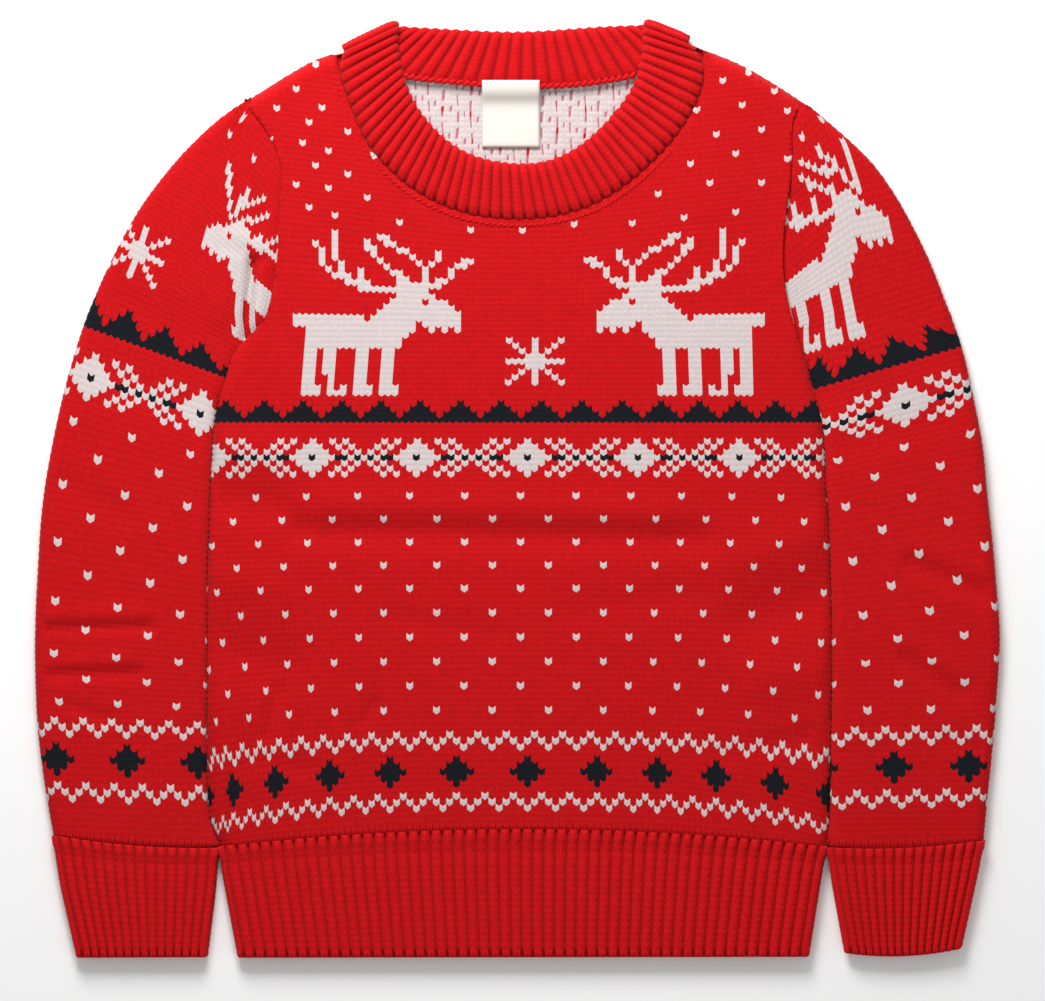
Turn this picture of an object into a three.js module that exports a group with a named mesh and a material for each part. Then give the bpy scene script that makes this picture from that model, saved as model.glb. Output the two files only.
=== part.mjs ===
// A child's knitted christmas sweater, laid flat on its back with the sleeves down.
// Millimetres. +X is the wearer's left, +Y points from hem to neck, +Z up from the surface it lies on.
// The origin is under the middle of its outline.
import * as THREE from "three";

// Driving dimensions
const knitWall = 2.4;
const neckbandWall = 4.6;
const bodyHeight = 7.2;
const sleeveHeight = 6.8;
const bandHeight = 6.2;
const neckbandHeightMiddle = 8.4;
const neckbandHeightCorner = 9.8;
const seamGap = 0.4;
const layerGap = 0.3;
const neckSeamGap = 1.1;
const neckDrop = 0.9;
const waistSeamBow = 8.5;
const sideFoldRadius = 8;
const shoulderFoldRadius = 6;
const sleeveFoldRadius = 5;
const bandFoldRadius = 3.2;
const neckbandFoldRadius = 3;
const neckbandFoldWall = 2.2;
const ribHeight = 1;
const backRibHeight = 0.8;
const waistbandRibs = 47;
const cuffRibs = 14;
const neckbandRibsFront = 48;
const neckbandRibsBack = 24;
const labelSize = { width: 27.6, length: 32, thickness: 1 };
const labelTop = { x: -3.2, y: 192.4 };

// Turns rows of numbers into objects with the named columns.
function table(columns, rows) {
  const names = columns.split(" ");
  return rows.map((row) => Object.fromEntries(names.map((name, i) => [name, row[i]])));
}

// Outline of the body on the photo's left, from the waistband up the side, then up the armhole seam.
const bodyLeft = table("x y", [
  [-142.6, -171], [-147.6, -158], [-149, -130], [-149, -80], [-148.6, -34], [-147, 10],
  [-145.7, 31], [-141.4, 51], [-135, 66], [-121.5, 81], [-117, 97], [-115, 112], [-113.7, 136],
  [-112.8, 152], [-116, 163], [-123, 175], [-131, 185],
]);

const bodyRight = table("x y", [
  [148.2, -171], [149.6, -158], [150.2, -130], [151, -80], [150, -30], [148, 5],
  [146.4, 31], [141, 52], [134.2, 73], [129.8, 89], [127.4, 104], [127.4, 119], [129, 134],
  [130.8, 148], [131.6, 162], [131.6, 174], [136, 185.6],
]);

// How far a body edge is folded over, from 1 at the side to 0 where the sleeve is seamed on flat.
const sideFold = table("y fold", [[-171, 1], [52, 1], [76, 0], [190, 0]]);

// Neckband: sewn edge and free edge, from the photo's left corner round the front to the right corner.
const neckSewnFront = table("x y", [
  [-83, 209.2], [-85, 200], [-79.6, 183], [-70.8, 164], [-54, 146.4], [-34, 135], [-12, 129.6],
  [12, 129.6], [34, 135], [53, 146.4], [70.8, 163], [82, 178], [88.4, 193], [88, 205], [81.6, 213.6],
]);

const neckFreeFront = table("x y", [
  [-56.6, 221.6], [-57.4, 212], [-54, 196], [-46, 180], [-32, 165.6], [-16, 158], [3, 155.6],
  [18, 158.2], [32, 166], [45, 178.4], [55, 192.6], [59.6, 208], [60.4, 222],
]);

const neckSewnBack = table("x y", [
  [-83, 209.2], [-70, 203], [-53.5, 198.4], [-30, 195.6], [0, 193.6], [30, 194.6], [55.4, 198.8],
  [70, 205], [81.6, 213.6],
]);

const neckFreeBack = table("x y", [
  [-56.6, 221.6], [-40, 220.8], [0, 219.2], [40, 221.6], [60.4, 222],
]);

// The two folds at the neckband's corners, and the way in from each fold.
const neckCorners = {
  left: { sewn: { x: -84.2, y: 211.9 }, free: { x: -57.8, y: 224.4 }, inward: { x: 0.43, y: -0.9 } },
  right: { sewn: { x: 82.8, y: 216.3 }, free: { x: 61.4, y: 224.8 }, inward: { x: -0.37, y: -0.93 } },
};

// Sleeve sections from the cuff to the top of the cap: the outer fold, the height on the body's side
// where the section meets it, how far that inner edge is folded, and the rise of the top layer.
const sleeveLeft = table("outerX outerY bodyY fold rise", [
  [-222.3, -165.6, -171, 1, 0.93],
  [-225.6, -147, -150, 1, 1],
  [-229.4, -119, -121, 1, 1],
  [-231, -90, -94, 1, 1],
  [-231, -64, -72, 1, 1],
  [-229.6, -36, -46, 1, 1],
  [-228, -12, -24, 1, 1],
  [-225, 10, -5, 1, 1],
  [-219.8, 36, 15, 1, 1],
  [-214.2, 58, 35, 0.9, 0.95],
  [-207.6, 79, 56, 0.5, 0.9],
  [-202, 93, 70, 0.1, 0.9],
  [-196.6, 105, 83, 0, 1],
  [-188, 122, 101, 0, 1],
  [-178, 138.4, 119, 0, 1],
  [-163.4, 157, 142, 0, 1],
  [-149.4, 171.4, 162, 0, 1],
  [-140.6, 178.6, 175, 0, 1],
  [-134.8, 182.7, 185, 0, 1],
]);

const sleeveRight = table("outerX outerY bodyY fold rise", [
  [223.4, -168, -171, 1, 0.93],
  [225, -150, -152, 1, 1],
  [228, -120, -121, 1, 1],
  [229.8, -97, -98, 1, 1],
  [231.1, -72, -76, 1, 1],
  [229.6, -48, -54, 1, 1],
  [227.4, -24, -33, 1, 1],
  [225.2, -4, -14, 1, 1],
  [222.6, 22, 8, 1, 1],
  [217, 51, 32, 0.9, 0.9],
  [211.6, 73, 53, 0.5, 0.84],
  [204.8, 90, 73, 0.1, 0.82],
  [198.2, 107, 93, 0, 0.84],
  [190.6, 123, 113, 0, 0.9],
  [180.6, 141, 134, 0, 0.95],
  [168.6, 157.4, 151, 0, 1],
  [154.6, 170.6, 164, 0, 1],
  [145.6, 178.2, 176, 0, 1],
  [139.8, 183, 185.6, 0, 1],
]);

// Ribbed bands: the fold at each side, from the top edge down, and how far the middle bows up.
const bandRows = {
  waistband: table("leftX leftY rightX rightY bow", [
    [-142.6, -171.4, 148.2, -171.4, waistSeamBow],
    [-140.8, -184, 145.4, -184, 4],
    [-133.2, -224.8, 139, -224.4, 0],
  ]),
  cuff_left: table("leftX leftY rightX rightY bow", [
    [-222.3, -166, -143.7, -172, -2],
    [-218.4, -190, -145.6, -194, -1],
    [-210.5, -224.8, -149.4, -224.6, 0],
  ]),
  cuff_right: table("leftX leftY rightX rightY bow", [
    [148.9, -171.8, 223.4, -168.4, -2],
    [151.6, -190, 219.4, -188, -2],
    [157.6, -222.6, 212.2, -220.4, -2.6],
  ]),
};

// Creases in the cloth: each runs between two points; a minus depth is a trough.
const creases = {
  front: table("x1 y1 x2 y2 width depth", [
    [-104, -20, 88, -24, 10, -0.8],
    [-114, -97, -120, -118, 4, -0.8],
    [-69, -103, -73, -111, 4, -0.6],
    [-112, -6, -118, -50, 16, -0.9],
    [134, 0, 136, -70, 16, -0.9],
    [-92, 170, -84, 140, 16, 0.7],
    [99, 186, 92, 140, 18, 0.7],
  ]),
  left: table("x1 y1 x2 y2 width depth", [
    [-229, -67, -176, -66, 5, -1],
    [-228, -89, -181, -88, 5, -0.9],
    [-126, 118, -133, 70, 6, -1.5],
  ]),
  right: table("x1 y1 x2 y2 width depth", [
    [188, -36, 224, -50, 7, -0.9],
    [186, -82, 212, -98, 7, -0.8],
    [132, 138, 146, 46, 9, -1],
  ]),
};

const colours = {
  red: 0xd31722,
  ribRed: 0xc61420,
  cream: 0xece6de,
};

// Reads a column of a table at a value of its first column, by straight lines between its rows.
function readTable(rows, key, at, column) {
  const next = rows.findIndex((row) => row[key] >= at);
  if (next === 0) return rows[0][column];
  if (next < 0) return rows[rows.length - 1][column];
  const low = rows[next - 1];
  const share = (at - low[key]) / (rows[next][key] - low[key]);
  return THREE.MathUtils.lerp(low[column], rows[next][column], share);
}

// A smooth plan curve through the points of a table.
function curveThrough(rows) {
  return new THREE.SplineCurve(rows.map((row) => new THREE.Vector2(row.x, row.y)));
}

// Height that the creases add at a plan point.
function creaseHeight(rows, x, y) {
  let height = 0;
  for (const row of rows) {
    const along = new THREE.Vector2(row.x2 - row.x1, row.y2 - row.y1);
    const from = new THREE.Vector2(x - row.x1, y - row.y1);
    const share = THREE.MathUtils.clamp(from.dot(along) / along.lengthSq(), 0, 1);
    const distance = from.sub(along.multiplyScalar(share)).length();
    height += row.depth * Math.exp(-((distance / row.width) ** 2));
  }
  return height;
}

// One closed wall between an outer and an inner grid of points; a ringed wall closes round.
function wall(outer, inner, ringed) {
  const rows = outer.length;
  const columns = outer[0].length;
  const spans = ringed ? columns : columns - 1;
  const points = [...outer.flat(), ...inner.flat()];
  const out = (j, i) => j * columns + (i % columns);
  const inn = (j, i) => rows * columns + out(j, i);
  const index = [];
  const quad = (a, b, c, d) => index.push(a, b, c, a, c, d);
  for (let j = 0; j < rows - 1; j += 1) {
    for (let i = 0; i < spans; i += 1) {
      quad(out(j, i), out(j, i + 1), out(j + 1, i + 1), out(j + 1, i));
      quad(inn(j, i), inn(j + 1, i), inn(j + 1, i + 1), inn(j, i + 1));
    }
  }
  const last = rows - 1;
  for (let i = 0; i < spans; i += 1) {
    quad(out(0, i + 1), out(0, i), inn(0, i), inn(0, i + 1));
    quad(out(last, i), out(last, i + 1), inn(last, i + 1), inn(last, i));
  }
  if (!ringed) {
    const end = columns - 1;
    for (let j = 0; j < last; j += 1) {
      quad(out(j, 0), out(j + 1, 0), inn(j + 1, 0), inn(j, 0));
      quad(out(j + 1, end), out(j, end), inn(j, end), inn(j + 1, end));
    }
  }
  return closedGeometry(points, index);
}

// Builds the geometry and turns its faces outward if its volume comes out negative.
function closedGeometry(points, index) {
  let volume = 0;
  for (let k = 0; k < index.length; k += 3) {
    const [a, b, c] = [points[index[k]], points[index[k + 1]], points[index[k + 2]]];
    volume += new THREE.Vector3().crossVectors(b, c).dot(a);
  }
  if (volume < 0) {
    for (let k = 0; k < index.length; k += 3) {
      [index[k], index[k + 1]] = [index[k + 1], index[k]];
    }
  }
  const geometry = new THREE.BufferGeometry().setFromPoints(points);
  geometry.setIndex(index);
  return geometry;
}

// Angles through a quarter fold, from the edge in.
const quarterFold = [0, 30, 60, 90].map(THREE.MathUtils.degToRad);

// Angles through a whole fold, from the top layer round to the bottom one.
const wholeFold = [60, 30, 0, -30, -60].map(THREE.MathUtils.degToRad);

// Where the shoulders end and the neck begins, as shares of the way across the body.
const shoulderEnd = { left: 0.18, right: 0.84 };

// Places across a body panel, even over each shoulder and even round the neck.
function placesAcross(shoulderSteps, neckSteps) {
  const even = (from, to, steps) =>
    Array.from({ length: steps }, (_, i) => from + ((to - from) * i) / steps);
  return [
    ...even(0, shoulderEnd.left, shoulderSteps),
    ...even(shoulderEnd.left, shoulderEnd.right, neckSteps),
    ...even(shoulderEnd.right, 1, shoulderSteps),
    1,
  ];
}

// Columns across the front: a quarter fold at each side, and flat ones between them.
function panelColumns(shoulderSteps, neckSteps) {
  const places = placesAcross(shoulderSteps, neckSteps).slice(1, -1);
  const fold = quarterFold.map((angle) => ({ angle, side: -1 }));
  const middle = places.map((share) => ({ angle: Math.PI / 2, side: 0, share }));
  const far = quarterFold.map((angle) => ({ angle, side: 1 })).reverse();
  return [...fold, ...middle, ...far];
}

// A plan point of a body panel: its columns run straight from the lower edge to the upper one,
// and those over a shoulder bend with the side's curve.
function patchPoint(patch, u, v) {
  const point = patch.bottom.getPoint(u).lerp(patch.top.getPoint(u), v);
  const bend = (side, weight) => {
    const straight = side.getPoint(0).lerp(side.getPoint(1), v);
    point.add(side.getPoint(v).sub(straight).multiplyScalar(Math.max(weight, 0)));
  };
  bend(patch.left, 1 - u / shoulderEnd.left);
  bend(patch.right, 1 - (1 - u) / (1 - shoulderEnd.right));
  return point;
}

// A curve read by the length along it, so that its points lie evenly.
class EvenCurve {
  constructor(curve) {
    this.curve = curve;
  }

  getPoint(share) {
    return this.curve.getPointAt(share);
  }
}

// Curves joined end to end, each filling its share of the way, so that a corner stays sharp.
class JoinedCurve {
  constructor(pieces) {
    this.pieces = pieces;
  }

  getPoint(share) {
    const piece = this.pieces.find((one) => share <= one.end) ?? this.pieces[this.pieces.length - 1];
    const local = (share - piece.start) / (piece.end - piece.start);
    return piece.curve.getPoint(THREE.MathUtils.clamp(local, 0, 1));
  }
}

// A line whose middle bows up in a parabola.
class BowedLine {
  constructor(from, to, bow) {
    this.from = new THREE.Vector2(from.x, from.y);
    this.to = new THREE.Vector2(to.x, to.y);
    this.bow = bow;
  }

  getPoint(share) {
    const point = this.from.clone().lerp(this.to, share);
    point.y += this.bow * (1 - (2 * share - 1) ** 2);
    return point;
  }
}

// The top edge of a body panel: shoulder, neck, shoulder.
function topEdge(neck) {
  const first = bodyLeft[bodyLeft.length - 1];
  const last = bodyRight[bodyRight.length - 1];
  const neckRows = neck.map((row) => ({ x: row.x, y: row.y - neckDrop }));
  const shoulderLeft = curveThrough([first, { x: -113, y: 196.4 }, { x: -98, y: 205 }, neckRows[0]]);
  const shoulderRight = curveThrough([
    neckRows[neckRows.length - 1], { x: 108, y: 202.6 }, { x: 122, y: 194.6 }, last,
  ]);
  return new JoinedCurve([
    { start: 0, end: shoulderEnd.left, curve: shoulderLeft },
    { start: shoulderEnd.left, end: shoulderEnd.right, curve: new EvenCurve(curveThrough(neckRows)) },
    { start: shoulderEnd.right, end: 1, curve: shoulderRight },
  ]);
}

function bodyPatch(neck) {
  return {
    bottom: new BowedLine(bodyLeft[0], bodyRight[0], waistSeamBow),
    top: topEdge(neck),
    left: new EvenCurve(curveThrough(bodyLeft)),
    right: new EvenCurve(curveThrough(bodyRight)),
  };
}

const neckMiddle = { x: 2, y: 215 };

// Where the front's shoulders end beside the neckband's corners.
const frontNeckEnds = { left: { x: -88.2, y: 208.4 }, right: { x: 91.6, y: 209.6 } };

// Neck rows of the front panel: just outside the neckband's sewn edge, from shoulder to shoulder.
const frontNeck = neckSewnFront.map((row, i) => {
  if (i === 0) return frontNeckEnds.left;
  if (i === neckSewnFront.length - 1) return frontNeckEnds.right;
  const outward = new THREE.Vector2(row.x - neckMiddle.x, row.y - neckMiddle.y).normalize();
  return { x: row.x + neckSeamGap * outward.x, y: row.y + neckSeamGap * outward.y };
});

// Where in plan a column stands, by its fold inset from the panel's side.
function insetShare(column, radius, width) {
  const inset = (radius * (1 - Math.cos(column.angle))) / width;
  if (column.side < 0) return inset;
  if (column.side > 0) return 1 - inset;
  return column.share;
}

// The front: a wall over the back, folded down at its sides and shoulders, flat at its seams.
function frontPanel() {
  const patch = bodyPatch(frontNeck);
  const columns = panelColumns(3, 24);
  const rows = panelRows();
  const seamHeight = knitWall + layerGap;
  const columnStep = 0.02;
  const outer = [];
  const inner = [];
  for (const row of rows) {
    const outerRow = [];
    const innerRow = [];
    const left = patch.left.getPoint(row.share);
    const right = patch.right.getPoint(row.share);
    const width = left.distanceTo(right);
    const sideFolds = {
      left: readTable(sideFold, "y", left.y, "fold"),
      right: readTable(sideFold, "y", right.y, "fold"),
    };
    for (const column of columns) {
      const u = insetShare(column, sideFoldRadius, width);
      const shoulder = u < shoulderEnd.left || u > shoulderEnd.right ? 1 : 0;
      const point = patchPoint(patch, u, row.share);
      const foldSide = u < 0.5 ? sideFolds.left : sideFolds.right;
      const riseSide = THREE.MathUtils.lerp(1, Math.sin(column.angle), foldSide);
      const riseTop = THREE.MathUtils.lerp(1, Math.sin(row.angle), shoulder);
      const flat = bodyHeight + creaseHeight(creases.front, point.x, point.y) * riseSide * riseTop;
      const rise = riseSide * riseTop;
      const inward = Math.cos(column.angle) * foldSide * knitWall * (u < 0.5 ? 1 : -1);
      const down = Math.cos(row.angle) * shoulder * knitWall;
      const lower = patchPoint(patch, u, Math.max(row.share - columnStep, 0));
      const below = lower.sub(point).setLength(down);
      const outerZ = seamHeight + (flat - seamHeight) * rise;
      const innerZ = seamHeight + (flat - knitWall - seamHeight) * rise;
      outerRow.push(new THREE.Vector3(point.x, point.y, outerZ));
      innerRow.push(new THREE.Vector3(point.x + inward + below.x, point.y + below.y, innerZ));
    }
    outer.push(outerRow);
    inner.push(innerRow);
  }
  return wall(outer, inner, false);
}

// Rows up a body panel, by the length along its side: even steps, then a quarter fold at the top.
// The sleeves' sections end on the same rows.
function panelRows() {
  const steps = 21;
  const sideLength = 370;
  const topRadius = shoulderFoldRadius / sideLength;
  const rows = Array.from({ length: steps }, (_, i) => ({
    share: (i / (steps - 1)) * (1 - topRadius),
    angle: Math.PI / 2,
  }));
  const fold = [60, 30, 0].map(THREE.MathUtils.degToRad);
  return [...rows, ...fold.map((angle) => ({ share: 1 - topRadius * (1 - Math.cos(angle)), angle }))];
}

// The back: a flat wall on the surface, its lower edge rounded in a little.
function backPanel() {
  const patch = bodyPatch(neckSewnBack);
  const edgeInset = 0.5;
  const places = placesAcross(2, 9);
  const end = places.length - 1;
  const rows = panelRows();
  const top = [];
  const bottom = [];
  for (let j = 0; j < rows.length; j += 1) {
    const topRow = [];
    const bottomRow = [];
    for (let i = 0; i <= end; i += 1) {
      const point = patchPoint(patch, places[i], rows[j].share);
      const acrossInset = i === 0 ? edgeInset : i === end ? -edgeInset : 0;
      const upInset = j === 0 ? edgeInset : j === rows.length - 1 ? -edgeInset : 0;
      topRow.push(new THREE.Vector3(point.x, point.y, knitWall));
      bottomRow.push(new THREE.Vector3(point.x + acrossInset, point.y + upInset, 0));
    }
    top.push(topRow);
    bottom.push(bottomRow);
  }
  return wall(top, bottom, false);
}

// One sleeve section, which ends at a share of the way up the body's side: its inner edge beside
// the body, the direction outward, its width, fold and rise.
function sleeveSection(rows, side, share) {
  const body = side.getPoint(share);
  const step = 0.004;
  const ahead = side.getPoint(Math.min(share + step, 1));
  const tangent = ahead.sub(side.getPoint(Math.max(share - step, 0)));
  const outwardSign = Math.sign(rows[0].outerX);
  const from = body.add(new THREE.Vector2(tangent.y, -tangent.x).setLength(outwardSign * seamGap));
  const next = Math.max(rows.findIndex((row) => row.bodyY >= side.getPoint(share).y), 1);
  const last = next < 1 ? rows.length - 1 : next;
  const low = rows[last - 1];
  const part = THREE.MathUtils.clamp(
    (side.getPoint(share).y - low.bodyY) / (rows[last].bodyY - low.bodyY), 0, 1,
  );
  const outline = new THREE.SplineCurve(rows.map((row) => new THREE.Vector2(row.outerX, row.outerY)));
  const to = outline.getPoint((last - 1 + part) / (rows.length - 1));
  return {
    from,
    outward: to.clone().sub(from).normalize(),
    width: to.distanceTo(from),
    fold: THREE.MathUtils.lerp(low.fold, rows[last].fold, part),
    rise: THREE.MathUtils.lerp(low.rise, rows[last].rise, part),
  };
}

// The most of a narrow section's width that its fold and its wall may take.
const mostFoldShare = 0.3;
const mostWallShare = 0.28;

// The points round one sleeve section, from the inner edge of the top layer out, round the fold
// and back under to the inner edge of the bottom layer.
function sleeveLoop(section, creaseRows, steps) {
  const radius = Math.min(sleeveFoldRadius, section.width * mostFoldShare);
  const thickness = Math.min(knitWall, section.width * mostWallShare);
  const outer = [];
  const inner = [];
  const top = sleeveHeight * section.rise;
  const seamTop = (top + layerGap) / 2;
  const seamBottom = (top - layerGap) / 2;
  const place = (inset, z) => {
    const plan = section.from.clone().addScaledVector(section.outward, inset);
    return new THREE.Vector3(plan.x, plan.y, z);
  };
  const lowest = 2 * knitWall + layerGap;
  const creased = (inset, share) => {
    const plan = place(inset, 0);
    return Math.max(top + creaseHeight(creaseRows, plan.x, plan.y) * share, lowest);
  };
  const span = section.width - 2 * radius;
  for (const angle of quarterFold) {
    const inset = radius * (1 - Math.cos(angle));
    const rise = THREE.MathUtils.lerp(1, Math.sin(angle), section.fold);
    const flat = creased(inset, rise);
    outer.push(place(inset, seamTop + (flat - seamTop) * rise));
    const inward = inset + thickness * Math.cos(angle) * section.fold;
    inner.push(place(inward, seamTop + (flat - knitWall - seamTop) * rise));
  }
  for (let i = 1; i <= steps.top; i += 1) {
    const inset = radius + (span * i) / steps.top;
    const flat = creased(inset, 1);
    outer.push(place(inset, flat));
    inner.push(place(inset, flat - knitWall));
  }
  for (const angle of wholeFold) {
    const inset = section.width - radius * (1 - Math.cos(angle));
    const half = top / 2;
    outer.push(place(inset, half + half * Math.sin(angle)));
    inner.push(place(inset - thickness * Math.cos(angle), half + (half - knitWall) * Math.sin(angle)));
  }
  for (let i = 0; i <= steps.bottom; i += 1) {
    const inset = section.width - radius - (span * i) / steps.bottom;
    outer.push(place(inset, 0));
    inner.push(place(inset, knitWall));
  }
  for (const angle of quarterFold.slice(0, 3).reverse()) {
    const inset = radius * (1 - Math.cos(angle));
    const drop = THREE.MathUtils.lerp(1, Math.sin(angle), section.fold);
    outer.push(place(inset, seamBottom * (1 - drop)));
    const inward = inset + thickness * Math.cos(angle) * section.fold;
    inner.push(place(inward, seamBottom + (knitWall - seamBottom) * drop));
  }
  return { outer, inner };
}

function sleeve(rows, bodySide, creaseRows) {
  const steps = { top: 9, bottom: 4 };
  const side = new EvenCurve(curveThrough(bodySide));
  const outer = [];
  const inner = [];
  for (const row of panelRows()) {
    const loop = sleeveLoop(sleeveSection(rows, side, row.share), creaseRows, steps);
    outer.push(loop.outer);
    inner.push(loop.inner);
  }
  return wall(outer, inner, false);
}

// A ribbed tube laid flat: crests and grooves in its upper layer, its underside plain.
function ribbedBand(rows, ribs) {
  const ribsPerStep = 5;
  const bottomSteps = Math.ceil(ribs / ribsPerStep);
  const half = bandHeight / 2;
  const outer = [];
  const inner = [];
  for (const row of rows) {
    const from = new THREE.Vector2(row.leftX, row.leftY);
    const along = new THREE.Vector2(row.rightX, row.rightY).sub(from);
    const width = along.length();
    along.normalize();
    const outerRow = [];
    const innerRow = [];
    const add = (inset, inwardShift, outerZ, innerZ) => {
      const bowAt = (place) => row.bow * (1 - (2 * place / width - 1) ** 2);
      const put = (place, z) => {
        const plan = from.clone().addScaledVector(along, place);
        return new THREE.Vector3(plan.x, plan.y + bowAt(place), z);
      };
      outerRow.push(put(inset, outerZ));
      innerRow.push(put(inset + inwardShift, innerZ));
    };
    const span = width - 2 * bandFoldRadius;
    for (let i = 0; i <= 2 * ribs; i += 1) {
      const rib = i % 2 ? ribHeight : 0;
      add(bandFoldRadius + (span * i) / (2 * ribs), 0, bandHeight + rib, bandHeight - knitWall);
    }
    const fold = (angle, side) => {
      const inset = bandFoldRadius * (1 - Math.cos(angle));
      const place = side > 0 ? width - inset : inset;
      const shift = -side * knitWall * Math.cos(angle);
      add(place, shift, half + half * Math.sin(angle), half + (half - knitWall) * Math.sin(angle));
    };
    wholeFold.forEach((angle) => fold(angle, 1));
    for (let i = 0; i <= bottomSteps; i += 1) {
      add(width - bandFoldRadius - (span * i) / bottomSteps, 0, 0, knitWall);
    }
    wholeFold.forEach((angle) => fold(-angle, -1));
    outer.push(outerRow);
    inner.push(innerRow);
  }
  return wall(outer, inner, true);
}

// The share of the back neckband at each end that lies under the front one and stays plain.
const coveredEnd = 0.19;

// Stations round the neckband: plan points of its sewn and free edges, the heights of its outer
// and inner faces, and how far the inner face is shifted in at a corner fold.
function neckbandStations() {
  const edges = {
    sewnFront: new EvenCurve(curveThrough(neckSewnFront)),
    freeFront: new EvenCurve(curveThrough(neckFreeFront)),
    sewnBack: new EvenCurve(curveThrough(neckSewnBack)),
    freeBack: new EvenCurve(curveThrough(neckFreeBack)),
  };
  const stations = [];
  const frontSteps = 2 * neckbandRibsFront;
  for (let i = 0; i <= frontSteps; i += 1) {
    const share = i / frontSteps;
    const top = THREE.MathUtils.lerp(neckbandHeightMiddle, neckbandHeightCorner, (2 * share - 1) ** 2);
    stations.push({
      sewn: edges.sewnFront.getPoint(share),
      free: edges.freeFront.getPoint(share),
      outerZ: top,
      innerZ: top - neckbandWall,
      rib: { outer: i % 2 ? ribHeight : 0, inner: 0 },
      shift: new THREE.Vector2(0, 0),
      up: 1,
    });
  }
  const half = neckbandHeightCorner / 2;
  const corner = (place, angle) => {
    const inward = new THREE.Vector2(place.inward.x, place.inward.y);
    const inset = neckbandFoldRadius * (1 - Math.cos(angle));
    const at = (point) => new THREE.Vector2(point.x, point.y).addScaledVector(inward, inset);
    stations.push({
      sewn: at(place.sewn),
      free: at(place.free),
      outerZ: half + half * Math.sin(angle),
      innerZ: half + (half - neckbandWall) * Math.sin(angle),
      rib: { outer: 0, inner: 0 },
      shift: inward.multiplyScalar(neckbandFoldWall * Math.cos(angle)),
      up: Math.sin(angle),
    });
  };
  wholeFold.forEach((angle) => corner(neckCorners.right, angle));
  const backSteps = 2 * neckbandRibsBack;
  for (let i = backSteps; i >= 0; i -= 1) {
    const share = i / backSteps;
    const shown = share > coveredEnd && share < 1 - coveredEnd;
    stations.push({
      sewn: edges.sewnBack.getPoint(share),
      free: edges.freeBack.getPoint(share),
      outerZ: 0,
      innerZ: neckbandWall,
      rib: { outer: 0, inner: i % 2 && shown ? backRibHeight : 0 },
      shift: new THREE.Vector2(0, 0),
      up: -1,
    });
  }
  wholeFold.forEach((angle) => corner(neckCorners.left, -angle));
  return stations;
}

// The neckband: a double ribbed ring, its front on the front panel's side, its back beneath.
function neckband() {
  const across = table("share outerDrop innerDrop ribbed", [
    [0, 1.2, 0.5, 0.4],
    [0.12, 0, 0, 1],
    [0.86, 0, 0, 1],
    [1, 1.6, 0.6, 0.6],
  ]);
  const stations = neckbandStations();
  const grid = (face) =>
    across.map((row) =>
      stations.map((station) => {
        const plan = station.sewn.clone().lerp(station.free, row.share);
        const rib = station.rib[face] * row.ribbed;
        if (face === "outer") {
          const drop = row.outerDrop * Math.max(station.up, 0);
          return new THREE.Vector3(plan.x, plan.y, station.outerZ - drop + rib);
        }
        plan.add(station.shift);
        return new THREE.Vector3(plan.x, plan.y, station.innerZ + row.innerDrop * station.up + rib);
      }),
    );
  return wall(grid("outer"), grid("inner"), true);
}

// The woven label, on the inside of the back just under the neck seam.
function neckLabel() {
  const base = knitWall + layerGap;
  const xs = [-labelSize.width / 2, 0, labelSize.width / 2];
  const ys = [-labelSize.length, -labelSize.length / 2, 0];
  const middleRise = 0.2;
  const point = (x, y, height) => {
    const rise = y === ys[1] ? middleRise : 0;
    return new THREE.Vector3(labelTop.x + x, labelTop.y + y, base + height + rise);
  };
  const grid = (height) => ys.map((y) => xs.map((x) => point(x, y, height)));
  return wall(grid(labelSize.thickness), grid(0), false);
}

function piece(name, geometry, colour, roughness) {
  geometry.computeVertexNormals();
  const material = new THREE.MeshStandardMaterial({ color: colour, roughness, metalness: 0 });
  const mesh = new THREE.Mesh(geometry, material);
  mesh.name = name;
  return mesh;
}

const sweater = new THREE.Group();
sweater.add(
  piece("front", frontPanel(), colours.red, 0.9),
  piece("back", backPanel(), colours.red, 0.9),
  piece("sleeve_left", sleeve(sleeveLeft, bodyLeft, creases.left), colours.red, 0.9),
  piece("sleeve_right", sleeve(sleeveRight, bodyRight, creases.right), colours.red, 0.9),
  piece("cuff_left", ribbedBand(bandRows.cuff_left, cuffRibs), colours.ribRed, 0.9),
  piece("cuff_right", ribbedBand(bandRows.cuff_right, cuffRibs), colours.ribRed, 0.9),
  piece("waistband", ribbedBand(bandRows.waistband, waistbandRibs), colours.ribRed, 0.9),
  piece("collar", neckband(), colours.ribRed, 0.9),
  piece("label", neckLabel(), colours.cream, 0.7),
);

export default sweater;
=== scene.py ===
"""A child's knitted christmas sweater laid flat: stitches, ribs, motifs and seams over its form."""

import logging
import math
from dataclasses import dataclass, field
from enum import IntEnum
from typing import Any, Callable, Iterable

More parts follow.
